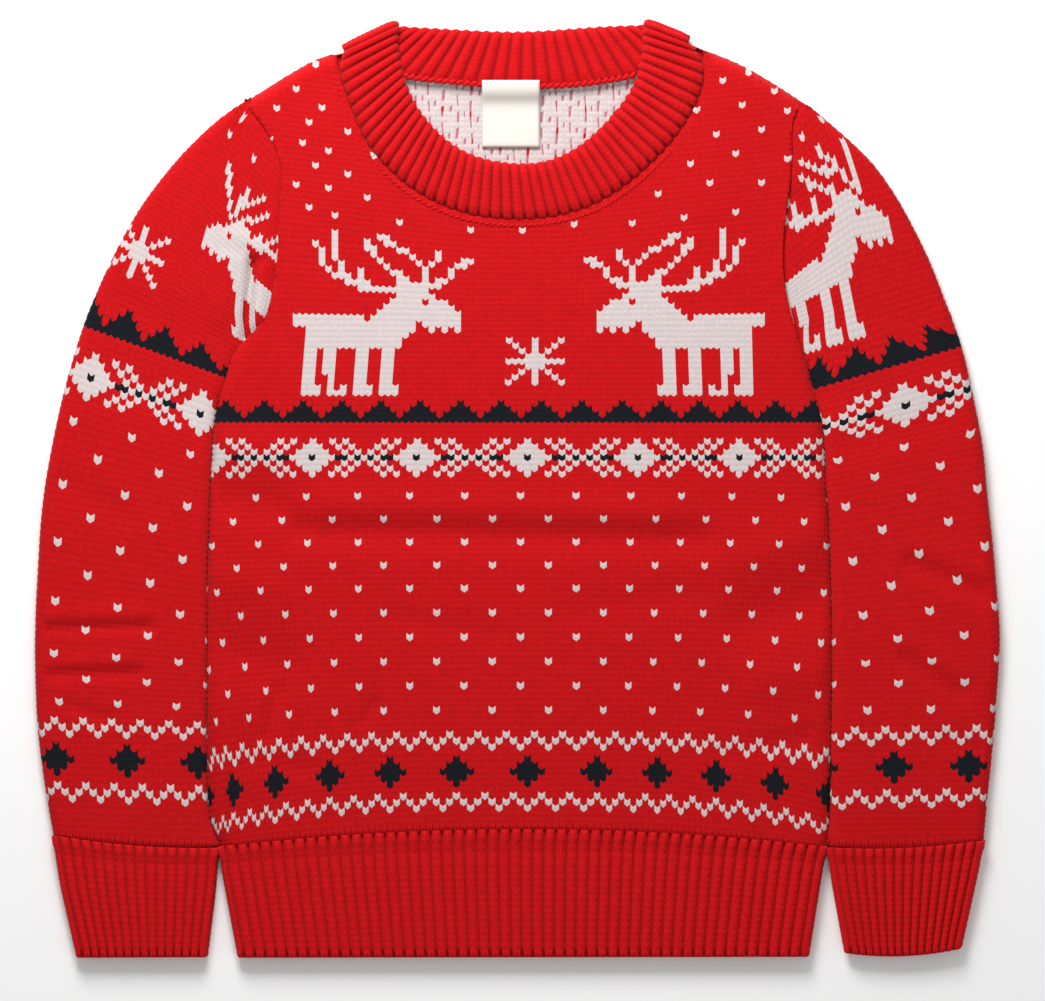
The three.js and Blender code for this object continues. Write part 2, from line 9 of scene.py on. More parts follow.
import bpy
import numpy as np
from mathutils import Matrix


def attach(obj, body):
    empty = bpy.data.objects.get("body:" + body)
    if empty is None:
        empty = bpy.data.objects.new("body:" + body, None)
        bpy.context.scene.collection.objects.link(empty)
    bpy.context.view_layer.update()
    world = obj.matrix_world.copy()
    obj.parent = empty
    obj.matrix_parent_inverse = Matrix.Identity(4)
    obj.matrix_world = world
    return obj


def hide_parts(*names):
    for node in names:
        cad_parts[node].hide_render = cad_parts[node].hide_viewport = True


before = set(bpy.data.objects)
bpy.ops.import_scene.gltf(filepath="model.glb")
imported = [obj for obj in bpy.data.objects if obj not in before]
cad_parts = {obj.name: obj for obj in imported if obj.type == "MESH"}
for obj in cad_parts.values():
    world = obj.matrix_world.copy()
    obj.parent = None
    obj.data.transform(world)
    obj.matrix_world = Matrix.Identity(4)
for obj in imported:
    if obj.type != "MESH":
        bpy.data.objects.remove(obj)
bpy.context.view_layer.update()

logger = logging.getLogger("christmas_sweater")

MM = 0.001

# The photo's scale and the pixel over the form's origin.
PIXEL_MM = 0.48
ORIGIN_PIXEL_X = 517.5
ORIGIN_PIXEL_Y = 488.5

# Body outline from the waistband up the side, then up the armhole seam, in millimetres.
BODY_LEFT = [
    (-142.6, -171), (-147.6, -158), (-149, -130), (-149, -80), (-148.6, -34), (-147, 10),
    (-145.7, 31), (-141.4, 51), (-135, 66), (-121.5, 81), (-117, 97), (-115, 112), (-113.7, 136),
    (-112.8, 152), (-116, 163), (-123, 175), (-131, 185),
]
BODY_RIGHT = [
    (148.2, -171), (149.6, -158), (150.2, -130), (151, -80), (150, -30), (148, 5),
    (146.4, 31), (141, 52), (134.2, 73), (129.8, 89), (127.4, 104), (127.4, 119), (129, 134),
    (130.8, 148), (131.6, 162), (131.6, 174), (136, 185.6),
]
NECK_SEWN_FRONT = [
    (-83, 209.2), (-85, 200), (-79.6, 183), (-70.8, 164), (-54, 146.4), (-34, 135), (-12, 129.6),
    (12, 129.6), (34, 135), (53, 146.4), (70.8, 163), (82, 178), (88.4, 193), (88, 205), (81.6, 213.6),
]
NECK_FREE_FRONT = [
    (-56.6, 221.6), (-57.4, 212), (-54, 196), (-46, 180), (-32, 165.6), (-16, 158), (3, 155.6),
    (18, 158.2), (32, 166), (45, 178.4), (55, 192.6), (59.6, 208), (60.4, 222),
]
NECK_SEWN_BACK = [
    (-83, 209.2), (-70, 203), (-53.5, 198.4), (-30, 195.6), (0, 193.6), (30, 194.6), (55.4, 198.8),
    (70, 205), (81.6, 213.6),
]
NECK_FREE_BACK = [(-56.6, 221.6), (-40, 220.8), (0, 219.2), (40, 221.6), (60.4, 222)]
FRONT_NECK_ENDS = [(-88.2, 208.4), (91.6, 209.6)]
SHOULDER_LEFT = [(-113, 196.4), (-98, 205)]
SHOULDER_RIGHT = [(108, 202.6), (122, 194.6)]
NECK_MIDDLE = (2.0, 215.0)

# Sleeve sections: outer fold x and y, height on the body's side, fold of the inner edge, rise.
SLEEVE_LEFT = [
    (-222.3, -165.6, -171, 1, 0.93), (-225.6, -147, -150, 1, 1), (-229.4, -119, -121, 1, 1),
    (-231, -90, -94, 1, 1), (-231, -64, -72, 1, 1), (-229.6, -36, -46, 1, 1),
    (-228, -12, -24, 1, 1), (-225, 10, -5, 1, 1), (-219.8, 36, 15, 1, 1),
    (-214.2, 58, 35, 0.9, 0.95), (-207.6, 79, 56, 0.5, 0.9), (-202, 93, 70, 0.1, 0.9),
    (-196.6, 105, 83, 0, 1), (-188, 122, 101, 0, 1), (-178, 138.4, 119, 0, 1),
    (-163.4, 157, 142, 0, 1), (-149.4, 171.4, 162, 0, 1), (-140.6, 178.6, 175, 0, 1),
    (-134.8, 182.7, 185, 0, 1),
]
SLEEVE_RIGHT = [
    (223.4, -168, -171, 1, 0.93), (225, -150, -152, 1, 1), (228, -120, -121, 1, 1),
    (229.8, -97, -98, 1, 1), (231.1, -72, -76, 1, 1), (229.6, -48, -54, 1, 1),
    (227.4, -24, -33, 1, 1), (225.2, -4, -14, 1, 1), (222.6, 22, 8, 1, 1),
    (217, 51, 32, 0.9, 0.9), (211.6, 73, 53, 0.5, 0.84), (204.8, 90, 73, 0.1, 0.82),
    (198.2, 107, 93, 0, 0.84), (190.6, 123, 113, 0, 0.9), (180.6, 141, 134, 0, 0.95),
    (168.6, 157.4, 151, 0, 1), (154.6, 170.6, 164, 0, 1), (145.6, 178.2, 176, 0, 1),
    (139.8, 183, 185.6, 0, 1),
]

# Creases: from point, to point, width and depth; a minus depth is a trough.
FRONT_CREASES = [
    (-104, -20, 88, -24, 8, -1.9), (-90, -8, 70, -12, 9, 1.0), (-114, -97, -120, -118, 3.4, -1.2),
    (-69, -103, -73, -111, 3.4, -1.0), (-92, 170, -84, 140, 16, 0.9), (99, 186, 92, 140, 18, 0.9),
    (-60, -62, -10, -70, 7, -0.6), (30, -58, 90, -50, 8, -0.6), (-128, -130, -100, -134, 5, -0.7),
    (100, -128, 136, -120, 6, -0.7), (-147, 24, -116, 18, 9, 0.9), (-147, -3, -118, -8, 11, -1.8),
    (-148, -40, -116, -48, 9, 0.8), (-148, -74, -116, -84, 14, -1.8), (150, -18, 108, -34, 9, 0.9),
    (150, -50, 110, -64, 14, -2.1), (150, -86, 116, -92, 9, 0.7),
]
LEFT_CREASES = [
    (-229, -67, -176, -66, 2.6, -1.5), (-228, -61, -180, -60, 4, 0.7), (-228, -89, -181, -88, 2.8, -1.3),
    (-226, -84, -186, -82, 3.5, 0.6), (-215, -104, -196, -110, 3, -0.8), (-127, 108, -130.5, 72, 2.6, -3.2),
    (-134, 121, -124, 116, 5, 0.9), (-137, 108, -141, 82, 5, 0.8), (-122.5, 104, -125, 80, 3.0, 1.2),
    (-222, 5, -190, -12, 7, -0.7), (-200, 60, -160, 40, 8, -0.6),
]
RIGHT_CREASES = [
    (188, -36, 224, -50, 5, -1.2), (192, -28, 222, -40, 5, 0.6), (186, -82, 212, -98, 5, -1.1),
    (190, -74, 214, -88, 5, 0.5), (132, 138, 146, 46, 9, -1.2), (205, -120, 224, -126, 4, -0.8),
    (160, 20, 200, 34, 9, -0.6),
]


class Yarn(IntEnum):
    """The yarns of the picture knitting, by their place among a piece's materials."""

    RED = 0
    WHITE = 1
    BLACK = 2
    MIXED = 3


class Leg(IntEnum):
    """What a column of the knit lattice shows: a stitch's left or right leg, or a purl hollow."""

    LEFT = 0
    RIGHT = 1
    HOLLOW = 2


def linear_colour(code: str) -> tuple[float, float, float, float]:
    """A six-digit sRGB hex colour as linear red, green, blue and alpha."""
    channels = [int(code[i : i + 2], 16) / 255 for i in (0, 2, 4)]
    low = 0.04045
    values = [c / 12.92 if c <= low else ((c + 0.055) / 1.055) ** 2.4 for c in channels]
    return (values[0], values[1], values[2], 1.0)


def photo_x(pixel: Any) -> Any:
    """The plan x in millimetres of a photo column."""
    return (np.asarray(pixel, float) - ORIGIN_PIXEL_X) * PIXEL_MM


def photo_y(pixel: Any) -> Any:
    """The plan y in millimetres of a photo row."""
    return (ORIGIN_PIXEL_Y - np.asarray(pixel, float)) * PIXEL_MM


def read_rows(rows: list[tuple[float, ...]], at: Any, column: int = 1, key: int = 0) -> Any:
    """Reads a table by straight lines between its rows.

    Args:
        rows: The table.
        at: Values of its key column.
        column: The column to read.
        key: The key column, which only rises.

    Returns:
        The column's values.
    """
    data = np.array(rows, float)
    return np.interp(at, data[:, key], data[:, column])


def points_at(at: Any, keys: np.ndarray, points: np.ndarray) -> np.ndarray:
    """Points of a broken line at values of its keys."""
    return np.stack([np.interp(at, keys, column) for column in points.T], axis=-1)


def run_lengths(points: np.ndarray) -> np.ndarray:
    """The length of a broken line up to each of its points."""
    steps = np.linalg.norm(np.diff(points, axis=0), axis=1)
    return np.concatenate([[0], np.cumsum(steps)])


def unit(vectors: np.ndarray) -> np.ndarray:
    """Vectors along the last axis, made one long."""
    return vectors / np.maximum(np.linalg.norm(vectors, axis=-1, keepdims=True), 1e-9)


class PlanCurve:
    """A smooth plan curve through points, read by its length or by its parameter."""

    SAMPLES = 24

    def __init__(self, points: list[tuple[float, float]]) -> None:
        """Samples the curve through the points."""
        knots = np.array(points, float)
        spans = len(knots) - 1
        self.parameter = np.linspace(0, spans, spans * self.SAMPLES + 1)
        start = np.minimum(self.parameter.astype(int), spans - 1)
        t = (self.parameter - start)[:, None]
        before, near = knots[np.maximum(start - 1, 0)], knots[start]
        far, after = knots[start + 1], knots[np.minimum(start + 2, spans)]
        leave, arrive = (far - before) / 2, (after - near) / 2
        cubic = 2 * near - 2 * far + leave + arrive
        square = -3 * near + 3 * far - 2 * leave - arrive
        self.points = cubic * t**3 + square * t**2 + leave * t + near
        self.parameter = self.parameter / spans
        along = run_lengths(self.points)
        self.share = along / along[-1]

    def at(self, share: Any) -> np.ndarray:
        """Points at shares of the curve's length."""
        return points_at(share, self.share, self.points)

    def at_parameter(self, value: Any) -> np.ndarray:
        """Points at shares of the curve's parameter."""
        return points_at(value, self.parameter, self.points)

    def x_at(self, y: Any) -> Any:
        """The curve's x at heights, for a curve that only rises."""
        return np.interp(y, self.points[:, 1], self.points[:, 0])


def crease_height(rows: list[tuple[float, ...]], x: np.ndarray, y: np.ndarray) -> np.ndarray:
    """Height that the creases add at plan points.

    Args:
        rows: Creases: from point, to point, width and depth.
        x: Plan x of the points.
        y: Plan y of the points.

    Returns:
        The height at each point, below zero in a trough.
    """
    height = np.zeros(np.shape(x))
    for x1, y1, x2, y2, width, depth in rows:
        along_x, along_y = x2 - x1, y2 - y1
        share = ((x - x1) * along_x + (y - y1) * along_y) / (along_x**2 + along_y**2)
        share = np.clip(share, 0, 1)
        away = np.hypot(x - x1 - share * along_x, y - y1 - share * along_y)
        height = height + depth * np.exp(-((away / width) ** 2))
    return height


def inside_polygon(polygon: np.ndarray, x: np.ndarray, y: np.ndarray) -> np.ndarray:
    """Whether plan points lie inside a closed polygon."""
    inside = np.zeros(x.shape, bool)
    x1, y1 = polygon[:, 0], polygon[:, 1]
    x2, y2 = np.roll(x1, -1), np.roll(y1, -1)
    for ax, ay, bx, by in zip(x1, y1, x2, y2):
        crosses = (ay > y) != (by > y)
        if crosses.any():
            edge_x = ax + (y - ay) * (bx - ax) / (by - ay if by != ay else 1)
            inside ^= crosses & (x < edge_x)
    return inside


def nearest_on_polygon(polygon: np.ndarray, points: np.ndarray) -> np.ndarray:
    """The nearest points on a closed polygon's edges."""
    start = polygon[None]
    along = np.roll(polygon, -1, axis=0)[None] - start
    size = np.maximum((along**2).sum(-1), 1e-12)
    share = np.clip(((points[:, None] - start) * along).sum(-1) / size, 0, 1)
    spots = start + share[..., None] * along
    best = ((spots - points[:, None]) ** 2).sum(-1).argmin(1)
    return spots[np.arange(len(points)), best]


def draw_to_outline(
    outline: np.ndarray, x: np.ndarray, y: np.ndarray, kept: np.ndarray, within: float = math.inf
) -> None:
    """Moves the corners on the border of the kept cells onto an outline.

    Args:
        outline: The closed outline's points.
        x: Plan x of the grid's corners, changed in place.
        y: Plan y of the grid's corners, changed in place.
        kept: The cells that are kept.
        within: Corners farther than this from the outline stay.
    """
    border = edge_vertices(kept)
    here = np.stack([x[border], y[border]], axis=1)
    spots = nearest_on_polygon(outline, here)
    close = np.linalg.norm(spots - here, axis=1) < within
    x[border], y[border] = np.where(close[:, None], spots, here).T


# Materials


def set_inputs(tree: bpy.types.NodeTree, node: bpy.types.Node, inputs: dict[Any, Any]) -> None:
    """Sets a node's inputs to values, or links them to output sockets."""
    for name, value in inputs.items():
        if isinstance(value, bpy.types.NodeSocket):
            tree.links.new(value, node.inputs[name])
        else:
            node.inputs[name].default_value = value


def add_node(
    tree: bpy.types.NodeTree,
    kind: str,
    settings: dict[str, Any] | None = None,
    inputs: dict[Any, Any] | None = None,
) -> bpy.types.Node:
    """Adds a shader node with its settings, and sets or links its inputs.

    Args:
        tree: The material's node tree.
        kind: The node's type name.
        settings: Node properties by name.
        inputs: Values or output sockets by the input's name or number.

    Returns:
        The new node.
    """
    node = tree.nodes.new(kind)
    for name, value in (settings or {}).items():
        setattr(node, name, value)
    set_inputs(tree, node, inputs or {})
    return node


def new_material(name: str) -> tuple[bpy.types.Material, bpy.types.NodeTree, bpy.types.Node]:
    """A new material, its node tree and its shader."""
    material = bpy.data.materials.new(name)
    material.use_nodes = True
    return material, material.node_tree, material.node_tree.nodes["Principled BSDF"]


def link_object(name: str, data: bpy.types.ID) -> bpy.types.Object:
    """Puts a new object into the scene."""
    made = bpy.data.objects.new(name, data)
    bpy.context.scene.collection.objects.link(made)
    return made


# The Mix node's colour sockets, which share their names with its other sockets.
MIX_FIRST_COLOUR, MIX_SECOND_COLOUR, MIX_RESULT_COLOUR = 6, 7, 2


@dataclass(frozen=True)
class YarnFinish:
    """A spun yarn: its dye, the mottling of its fibres and the fuzz that catches light."""

    name: str
    colour: str
    shade: str
    roughness: float = 0.82
    sheen: float = 0.06
    mottle_mm: float = 1.6
    fibre_mm: float = 0.28
    fibre_height_mm: float = 0.12

    def material(self) -> bpy.types.Material:
        """The yarn's material, made once and then reused."""
        found = bpy.data.materials.get(self.name)
        if found:
            return found
        material, tree, shader = new_material(self.name)
        place = add_node(tree, "ShaderNodeTexCoord").outputs["Object"]
        # Uneven dye and loose fibres give the soft mottled tone of spun yarn.
        mottle = add_node(
            tree, "ShaderNodeTexNoise", None,
            {"Vector": place, "Scale": 1 / (self.mottle_mm * MM), "Detail": 3.0, "Roughness": 0.6},
        )
        tone = add_node(
            tree, "ShaderNodeMix", {"data_type": "RGBA"},
            {"Factor": mottle.outputs["Fac"], MIX_FIRST_COLOUR: linear_colour(self.shade),
             MIX_SECOND_COLOUR: linear_colour(self.colour)},
        )
        # Fine fibres break up the light on each stitch.
        fibres = add_node(
            tree, "ShaderNodeTexNoise", None,
            {"Vector": place, "Scale": 1 / (self.fibre_mm * MM), "Detail": 2.0},
        )
        bump = add_node(
            tree, "ShaderNodeBump", None,
            {"Height": fibres.outputs["Fac"], "Distance": self.fibre_height_mm * MM, "Strength": 0.7},
        )
        set_inputs(tree, shader, {
            "Base Color": tone.outputs[MIX_RESULT_COLOUR], "Normal": bump.outputs["Normal"],
            "Roughness": self.roughness, "IOR": 1.46, "Specular IOR Level": 0.15,
            "Sheen Weight": self.sheen, "Sheen Roughness": 0.5,
        })
        return material


@dataclass(frozen=True)
class RibbonFinish:
    """Woven satin ribbon of a neck label: smooth, with a fine cross weave."""

    name: str = "label_satin_woven_polyester"
    colour: str = "DDD8D0"
    thread_mm: float = 0.35
    thread_height_mm: float = 0.05

    # A wave texture of scale 0.31 repeats once in a metre.
    WAVE_SCALE = 0.31

    def material(self) -> bpy.types.Material:
        """The label's material."""
        material, tree, shader = new_material(self.name)
        place = add_node(tree, "ShaderNodeTexCoord").outputs["Object"]
        # Weft threads run across the ribbon and give it a faint grain.
        weft = add_node(
            tree, "ShaderNodeTexWave", {"bands_direction": "Y"},
            {"Vector": place, "Scale": self.WAVE_SCALE / (self.thread_mm * MM), "Distortion": 0.4},
        )
        bump = add_node(
            tree, "ShaderNodeBump", None,
            {"Height": weft.outputs["Fac"], "Distance": self.thread_height_mm * MM, "Strength": 0.4},
        )
        set_inputs(tree, shader, {
            "Base Color": linear_colour(self.colour), "Normal": bump.outputs["Normal"],
            "Roughness": 0.5, "IOR": 1.5, "Sheen Weight": 0.1,
        })
        return material


@dataclass(frozen=True)
class PaperFinish:
    """Matte white studio paper under the sweater."""

    name: str = "studio_paper_matte_white"
    colour: str = "FBFBFB"

    def material(self) -> bpy.types.Material:
        """The floor's material."""
        material, tree, shader = new_material(self.name)
        # A wide matte surface returns an even white around the sweater.
        set_inputs(tree, shader, {
            "Base Color": linear_colour(self.colour), "Roughness": 0.95, "Specular IOR Level": 0.0,
        })
        return material


RED_YARN = YarnFinish("red_yarn_spun_cotton_acrylic", "DA0811", "9C050A")
WHITE_YARN = YarnFinish("white_yarn_spun_cotton_acrylic", "DACDCC", "BFB2B1")
BLACK_YARN = YarnFinish("black_yarn_spun_cotton_acrylic", "161A22", "090C12", sheen=0.03)
MIXED_YARN = YarnFinish("float_ladder_red_through_white_yarn", "C8909C", "9A4656")
RIB_YARN = YarnFinish("red_rib_spun_cotton_acrylic", "DE0A13", "A8060B")
# The ribs' purl hollows are the same red yarn as the ribs. Their darker red, deeper still round the neck, is
# painted shade for the shadow in the troughs.
BAND_HOLLOW_PAINTED_SHADE = YarnFinish("red_rib_hollow_painted_shade", "C4070F", "92050A")
NECK_HOLLOW_PAINTED_SHADE = YarnFinish("red_rib_hollow_deep_painted_shade", "B4070E", "82050A")
# Each ribbing's materials: the rib yarn, then the hollows' painted shade.
BAND_RIB_AND_PAINTED_SHADE = (RIB_YARN, BAND_HOLLOW_PAINTED_SHADE)
NECK_RIB_AND_PAINTED_SHADE = (RIB_YARN, NECK_HOLLOW_PAINTED_SHADE)
KNIT_YARNS = (RED_YARN, WHITE_YARN, BLACK_YARN, MIXED_YARN)


# Meshes


@dataclass
class MeshParts:
    """Vertices, triangles, their materials and their texture places, gathered for one mesh."""

    vertices: list[np.ndarray] = field(default_factory=list)
    triangles: list[np.ndarray] = field(default_factory=list)
    materials: list[np.ndarray] = field(default_factory=list)
    places: list[np.ndarray] = field(default_factory=list)
    count: int = 0

    SMALLEST_MM2 = 1e-4

    def add(
        self, vertices: np.ndarray, triangles: np.ndarray, materials: np.ndarray, places: np.ndarray
    ) -> None:
        """Adds a patch.

        Args:
            vertices: Points in millimetres.
            triangles: Vertex numbers, three a row.
            materials: A material number for each triangle.
            places: Texture place of each triangle's three corners, from 0 to 1.
        """
        a, b, c = (vertices[triangles[:, i]] for i in range(3))
        area = np.linalg.norm(np.cross(b - a, c - a), axis=1) / 2
        kept = area > self.SMALLEST_MM2
        self.vertices.append(vertices)
        self.triangles.append(triangles[kept] + self.count)
        self.materials.append(materials[kept])
        self.places.append(places[kept])
        self.count += len(vertices)

    def build(self, name: str, finishes: tuple[YarnFinish, ...]) -> bpy.types.Object:
        """Makes the object, its unused points left out and its texture patches side by side.

        Args:
            name: The piece's name.
            finishes: The yarns, in the order of the material numbers.

        Returns:
            The piece.
        """
        patches = len(self.triangles)
        places = [(uv + np.array([i, 0])) / np.array([patches, 1]) for i, uv in enumerate(self.places)]
        vertices = np.concatenate(self.vertices) * MM
        # Nothing reaches below the surface that the sweater lies on.
        vertices[:, 2] = np.maximum(vertices[:, 2], 0)
        triangles = np.concatenate(self.triangles)
        used, triangles = np.unique(triangles, return_inverse=True)
        vertices, triangles = vertices[used], triangles.reshape(-1, 3)
        mesh = bpy.data.meshes.new(name)
        mesh.vertices.add(len(vertices))
        mesh.vertices.foreach_set("co", vertices.ravel())
        mesh.loops.add(triangles.size)
        mesh.loops.foreach_set("vertex_index", triangles.ravel().astype(np.int32))
        mesh.polygons.add(len(triangles))
        mesh.polygons.foreach_set("loop_start", np.arange(0, triangles.size, 3, dtype=np.int32))
        mesh.polygons.foreach_set("material_index", np.concatenate(self.materials).astype(np.int32))
        mesh.polygons.foreach_set("use_smooth", np.ones(len(triangles), bool))
        mesh.update(calc_edges=True)
        mesh.validate()
        layer = mesh.uv_layers.new(name="OFBake")
        layer.data.foreach_set("uv", np.concatenate(places).ravel())
        for finish in finishes:
            mesh.materials.append(finish.material())
        logger.info("%s: %d triangles", name, len(triangles))
        return link_object(name, mesh)


@dataclass
class Lattice:
    """Knit stitches over a grid of points: each leg a raised leaf between four corners.

    corners holds a point for each row line and column line. kept and yarn hold a value for each
    row and column, and ridge may too; legs says what each column shows.
    """

    corners: np.ndarray
    legs: np.ndarray
    slant: np.ndarray
    kept: np.ndarray
    ridge: Any
    yarn: np.ndarray
    outward: int = 1
    rim_mm: float = 2.2
    ringed: bool = False

    # The share of the texture's height that the stitches take; the rim takes the rest.
    GRID_SHARE = 0.9
    # Shares of the cell's corners, outer high, outer low, inner low and inner high, at which the
    # leaf's upper and lower points stand.
    RAISED = ((0.42, 0.27, 0.06, 0.25), (0.06, 0.25, 0.42, 0.27))
    # Triangles between those four corners and the two raised points.
    LEAF_FACES = ((0, 1, 4), (1, 2, 5), (1, 5, 4), (2, 3, 5), (3, 4, 5), (3, 0, 4))
    FLAT_FACES = ((0, 1, 2), (0, 2, 3))

    def cells(self) -> dict[str, np.ndarray]:
        """Vertex numbers of the kept cells' corners, seen with rows up and columns right."""
        rows, columns = self.kept.shape
        row, column = np.nonzero(self.kept)
        lines = self.corners.shape[1]
        right = (column + 1) % lines if self.ringed else column + 1
        return {
            "row": row,
            "column": column,
            "left_low": row * lines + column,
            "left_high": (row + 1) * lines + column,
            "right_low": row * lines + right,
            "right_high": (row + 1) * lines + right,
        }

    def add_to(self, parts: MeshParts) -> MeshParts:
        """Builds the stitches and their rim.

        Args:
            parts: The mesh that they are added to.

        Returns:
            The same mesh.
        """
        cell = self.cells()
        leg = self.legs[cell["column"]]
        flip = leg == Leg.RIGHT
        high = np.array([cell["left_high"], cell["right_high"]])
        low = np.array([cell["left_low"], cell["right_low"]])
        outer_high, inner_high = np.where(flip, high[::-1], high)
        outer_low, inner_low = np.where(flip, low[::-1], low)
        corners = [outer_high, outer_low, inner_low, inner_high]
        points = self.corners.reshape(-1, 3)
        across, back = points[high[1]] - points[low[0]], points[high[0]] - points[low[1]]
        normal = unit(self.outward * np.cross(across, back))
        ridge = np.broadcast_to(self.ridge, self.kept.shape)[cell["row"], cell["column"]]
        texture = self.texture_corners(cell, flip)
        raised, raised_texture = [], []
        for shares in self.RAISED:
            middle = sum(share * points[k] for share, k in zip(shares, corners))
            raised.append(middle + ridge[:, None] * normal)
            raised_texture.append(sum(share * spot for share, spot in zip(shares, texture)))
        upper = len(points) + np.arange(len(leg))
        names = np.array([*corners, upper, upper + len(leg)])
        spots = np.array([*texture, *raised_texture])
        yarn = self.yarn[cell["row"], cell["column"]]
        reverse = flip if self.outward > 0 else ~flip
        hollow = leg == Leg.HOLLOW
        gathered = []
        for faces, chosen in ((self.LEAF_FACES, ~hollow), (self.FLAT_FACES, hollow)):
            turn = reverse[chosen]
            for face in faces:
                there, turned = list(face), list(face[::-1])
                corner = np.where(turn, names[turned][:, chosen], names[there][:, chosen])
                spot = np.where(turn[:, None], spots[turned][:, chosen], spots[there][:, chosen])
                gathered.append((corner.T, yarn[chosen], spot.transpose(1, 0, 2)))
        self.add_rim(
            parts, np.concatenate([points, *raised]), *(np.concatenate(part) for part in zip(*gathered)),
        )
        return parts

    def texture_corners(self, cell: dict[str, np.ndarray], flip: np.ndarray) -> list[np.ndarray]:
        """Texture places of the cells' corners.

        Args:
            cell: Rows, columns and corners of the kept cells.
            flip: The cells whose leg leans the other way.

        Returns:
            The places of the corners outer high, outer low, inner low and inner high.
        """
        rows, columns = self.kept.shape
        tall = rows + 1 + self.slant.max()

        def place(column: np.ndarray, row: np.ndarray) -> np.ndarray:
            """Texture places of grid corners."""
            lean = self.slant[column % len(self.slant)]
            return np.stack([column / columns, (row + lean) / tall * self.GRID_SHARE], axis=1)

        outer = cell["column"] + flip
        inner = cell["column"] + ~flip
        row = cell["row"]
        return [place(outer, row + 1), place(outer, row), place(inner, row), place(inner, row + 1)]

    def add_rim(
        self,
        parts: MeshParts,
        vertices: np.ndarray,
        triangles: np.ndarray,
        yarns: np.ndarray,
        places: np.ndarray,
    ) -> None:
        """Adds the cloth's thickness along every open edge, then hands the patch to the mesh.

        Args:
            parts: The mesh.
            vertices: The stitches' points.
            triangles: Vertex numbers, three a row.
            yarns: A yarn for each triangle.
            places: Texture places of each triangle's three corners.
        """
        edges = np.concatenate([triangles[:, [0, 1]], triangles[:, [1, 2]], triangles[:, [2, 0]]])
        owner = np.tile(np.arange(len(triangles)), 3)
        low, high = edges.min(1).astype(np.int64), edges.max(1)
        _, first, counts = np.unique(low * len(vertices) + high, return_index=True, return_counts=True)
        open_edges = edges[first[counts == 1]]
        open_yarn = yarns[owner[first[counts == 1]]]
        a, b, c = (vertices[triangles[:, i]] for i in range(3))
        face_normal = np.cross(b - a, c - a)
        normals = np.zeros_like(vertices)
        for i in range(3):
            np.add.at(normals, triangles[:, i], face_normal)
        normals = unit(normals)
        rim, inverse = np.unique(open_edges, return_inverse=True)
        inverse = inverse.reshape(-1, 2) + len(vertices)
        inner = vertices[rim] - self.rim_mm * normals[rim]
        start, end = open_edges[:, 0], open_edges[:, 1]
        near, far = inverse[:, 0], inverse[:, 1]
        first_half = np.stack([end, start, near], axis=1)
        second_half = np.stack([end, near, far], axis=1)
        spots = self.rim_places(len(open_edges))
        parts.add(
            np.concatenate([vertices, inner]),
            np.concatenate([triangles, first_half, second_half]),
            np.concatenate([yarns, open_yarn, open_yarn]),
            np.concatenate([places, spots[:, [1, 0, 3]], spots[:, [1, 3, 2]]]),
        )

    def rim_places(self, count: int) -> np.ndarray:
        """Texture places of the rim's quads, laid in rows above the stitches."""
        per_row = 160
        rows = math.ceil(count / per_row)
        number = np.arange(count)
        column, row = number % per_row, number // per_row
        gap = 0.15
        left, right = (column + gap) / per_row, (column + 1 - gap) / per_row
        height = (1 - self.GRID_SHARE) / rows
        low = self.GRID_SHARE + height * (row + gap)
        high = self.GRID_SHARE + height * (row + 1 - gap)
        pairs = [(left, low), (right, low), (right, high), (left, high)]
        return np.stack([np.stack(pair, axis=1) for pair in pairs], axis=1)


def knit_columns(wales: int, slant: float) -> tuple[np.ndarray, np.ndarray]:
    """The legs and the lean of the column lines of plain knitting."""
    legs = np.tile([Leg.LEFT, Leg.RIGHT], wales)
    lean = np.tile([slant, 0.0], wales + 1)[: 2 * wales + 1]
    return legs, lean


def edge_vertices(kept: np.ndarray) -> np.ndarray:
    """Which corners of a grid lie on the border of its kept cells."""
    padded = np.pad(kept, 1)
    tall, wide = kept.shape[0] + 1, kept.shape[1] + 1
    number = sum(padded[i : i + tall, j : j + wide].astype(int) for i in (0, 1) for j in (0, 1))
    return (number > 0) & (number < 4)


# Motifs


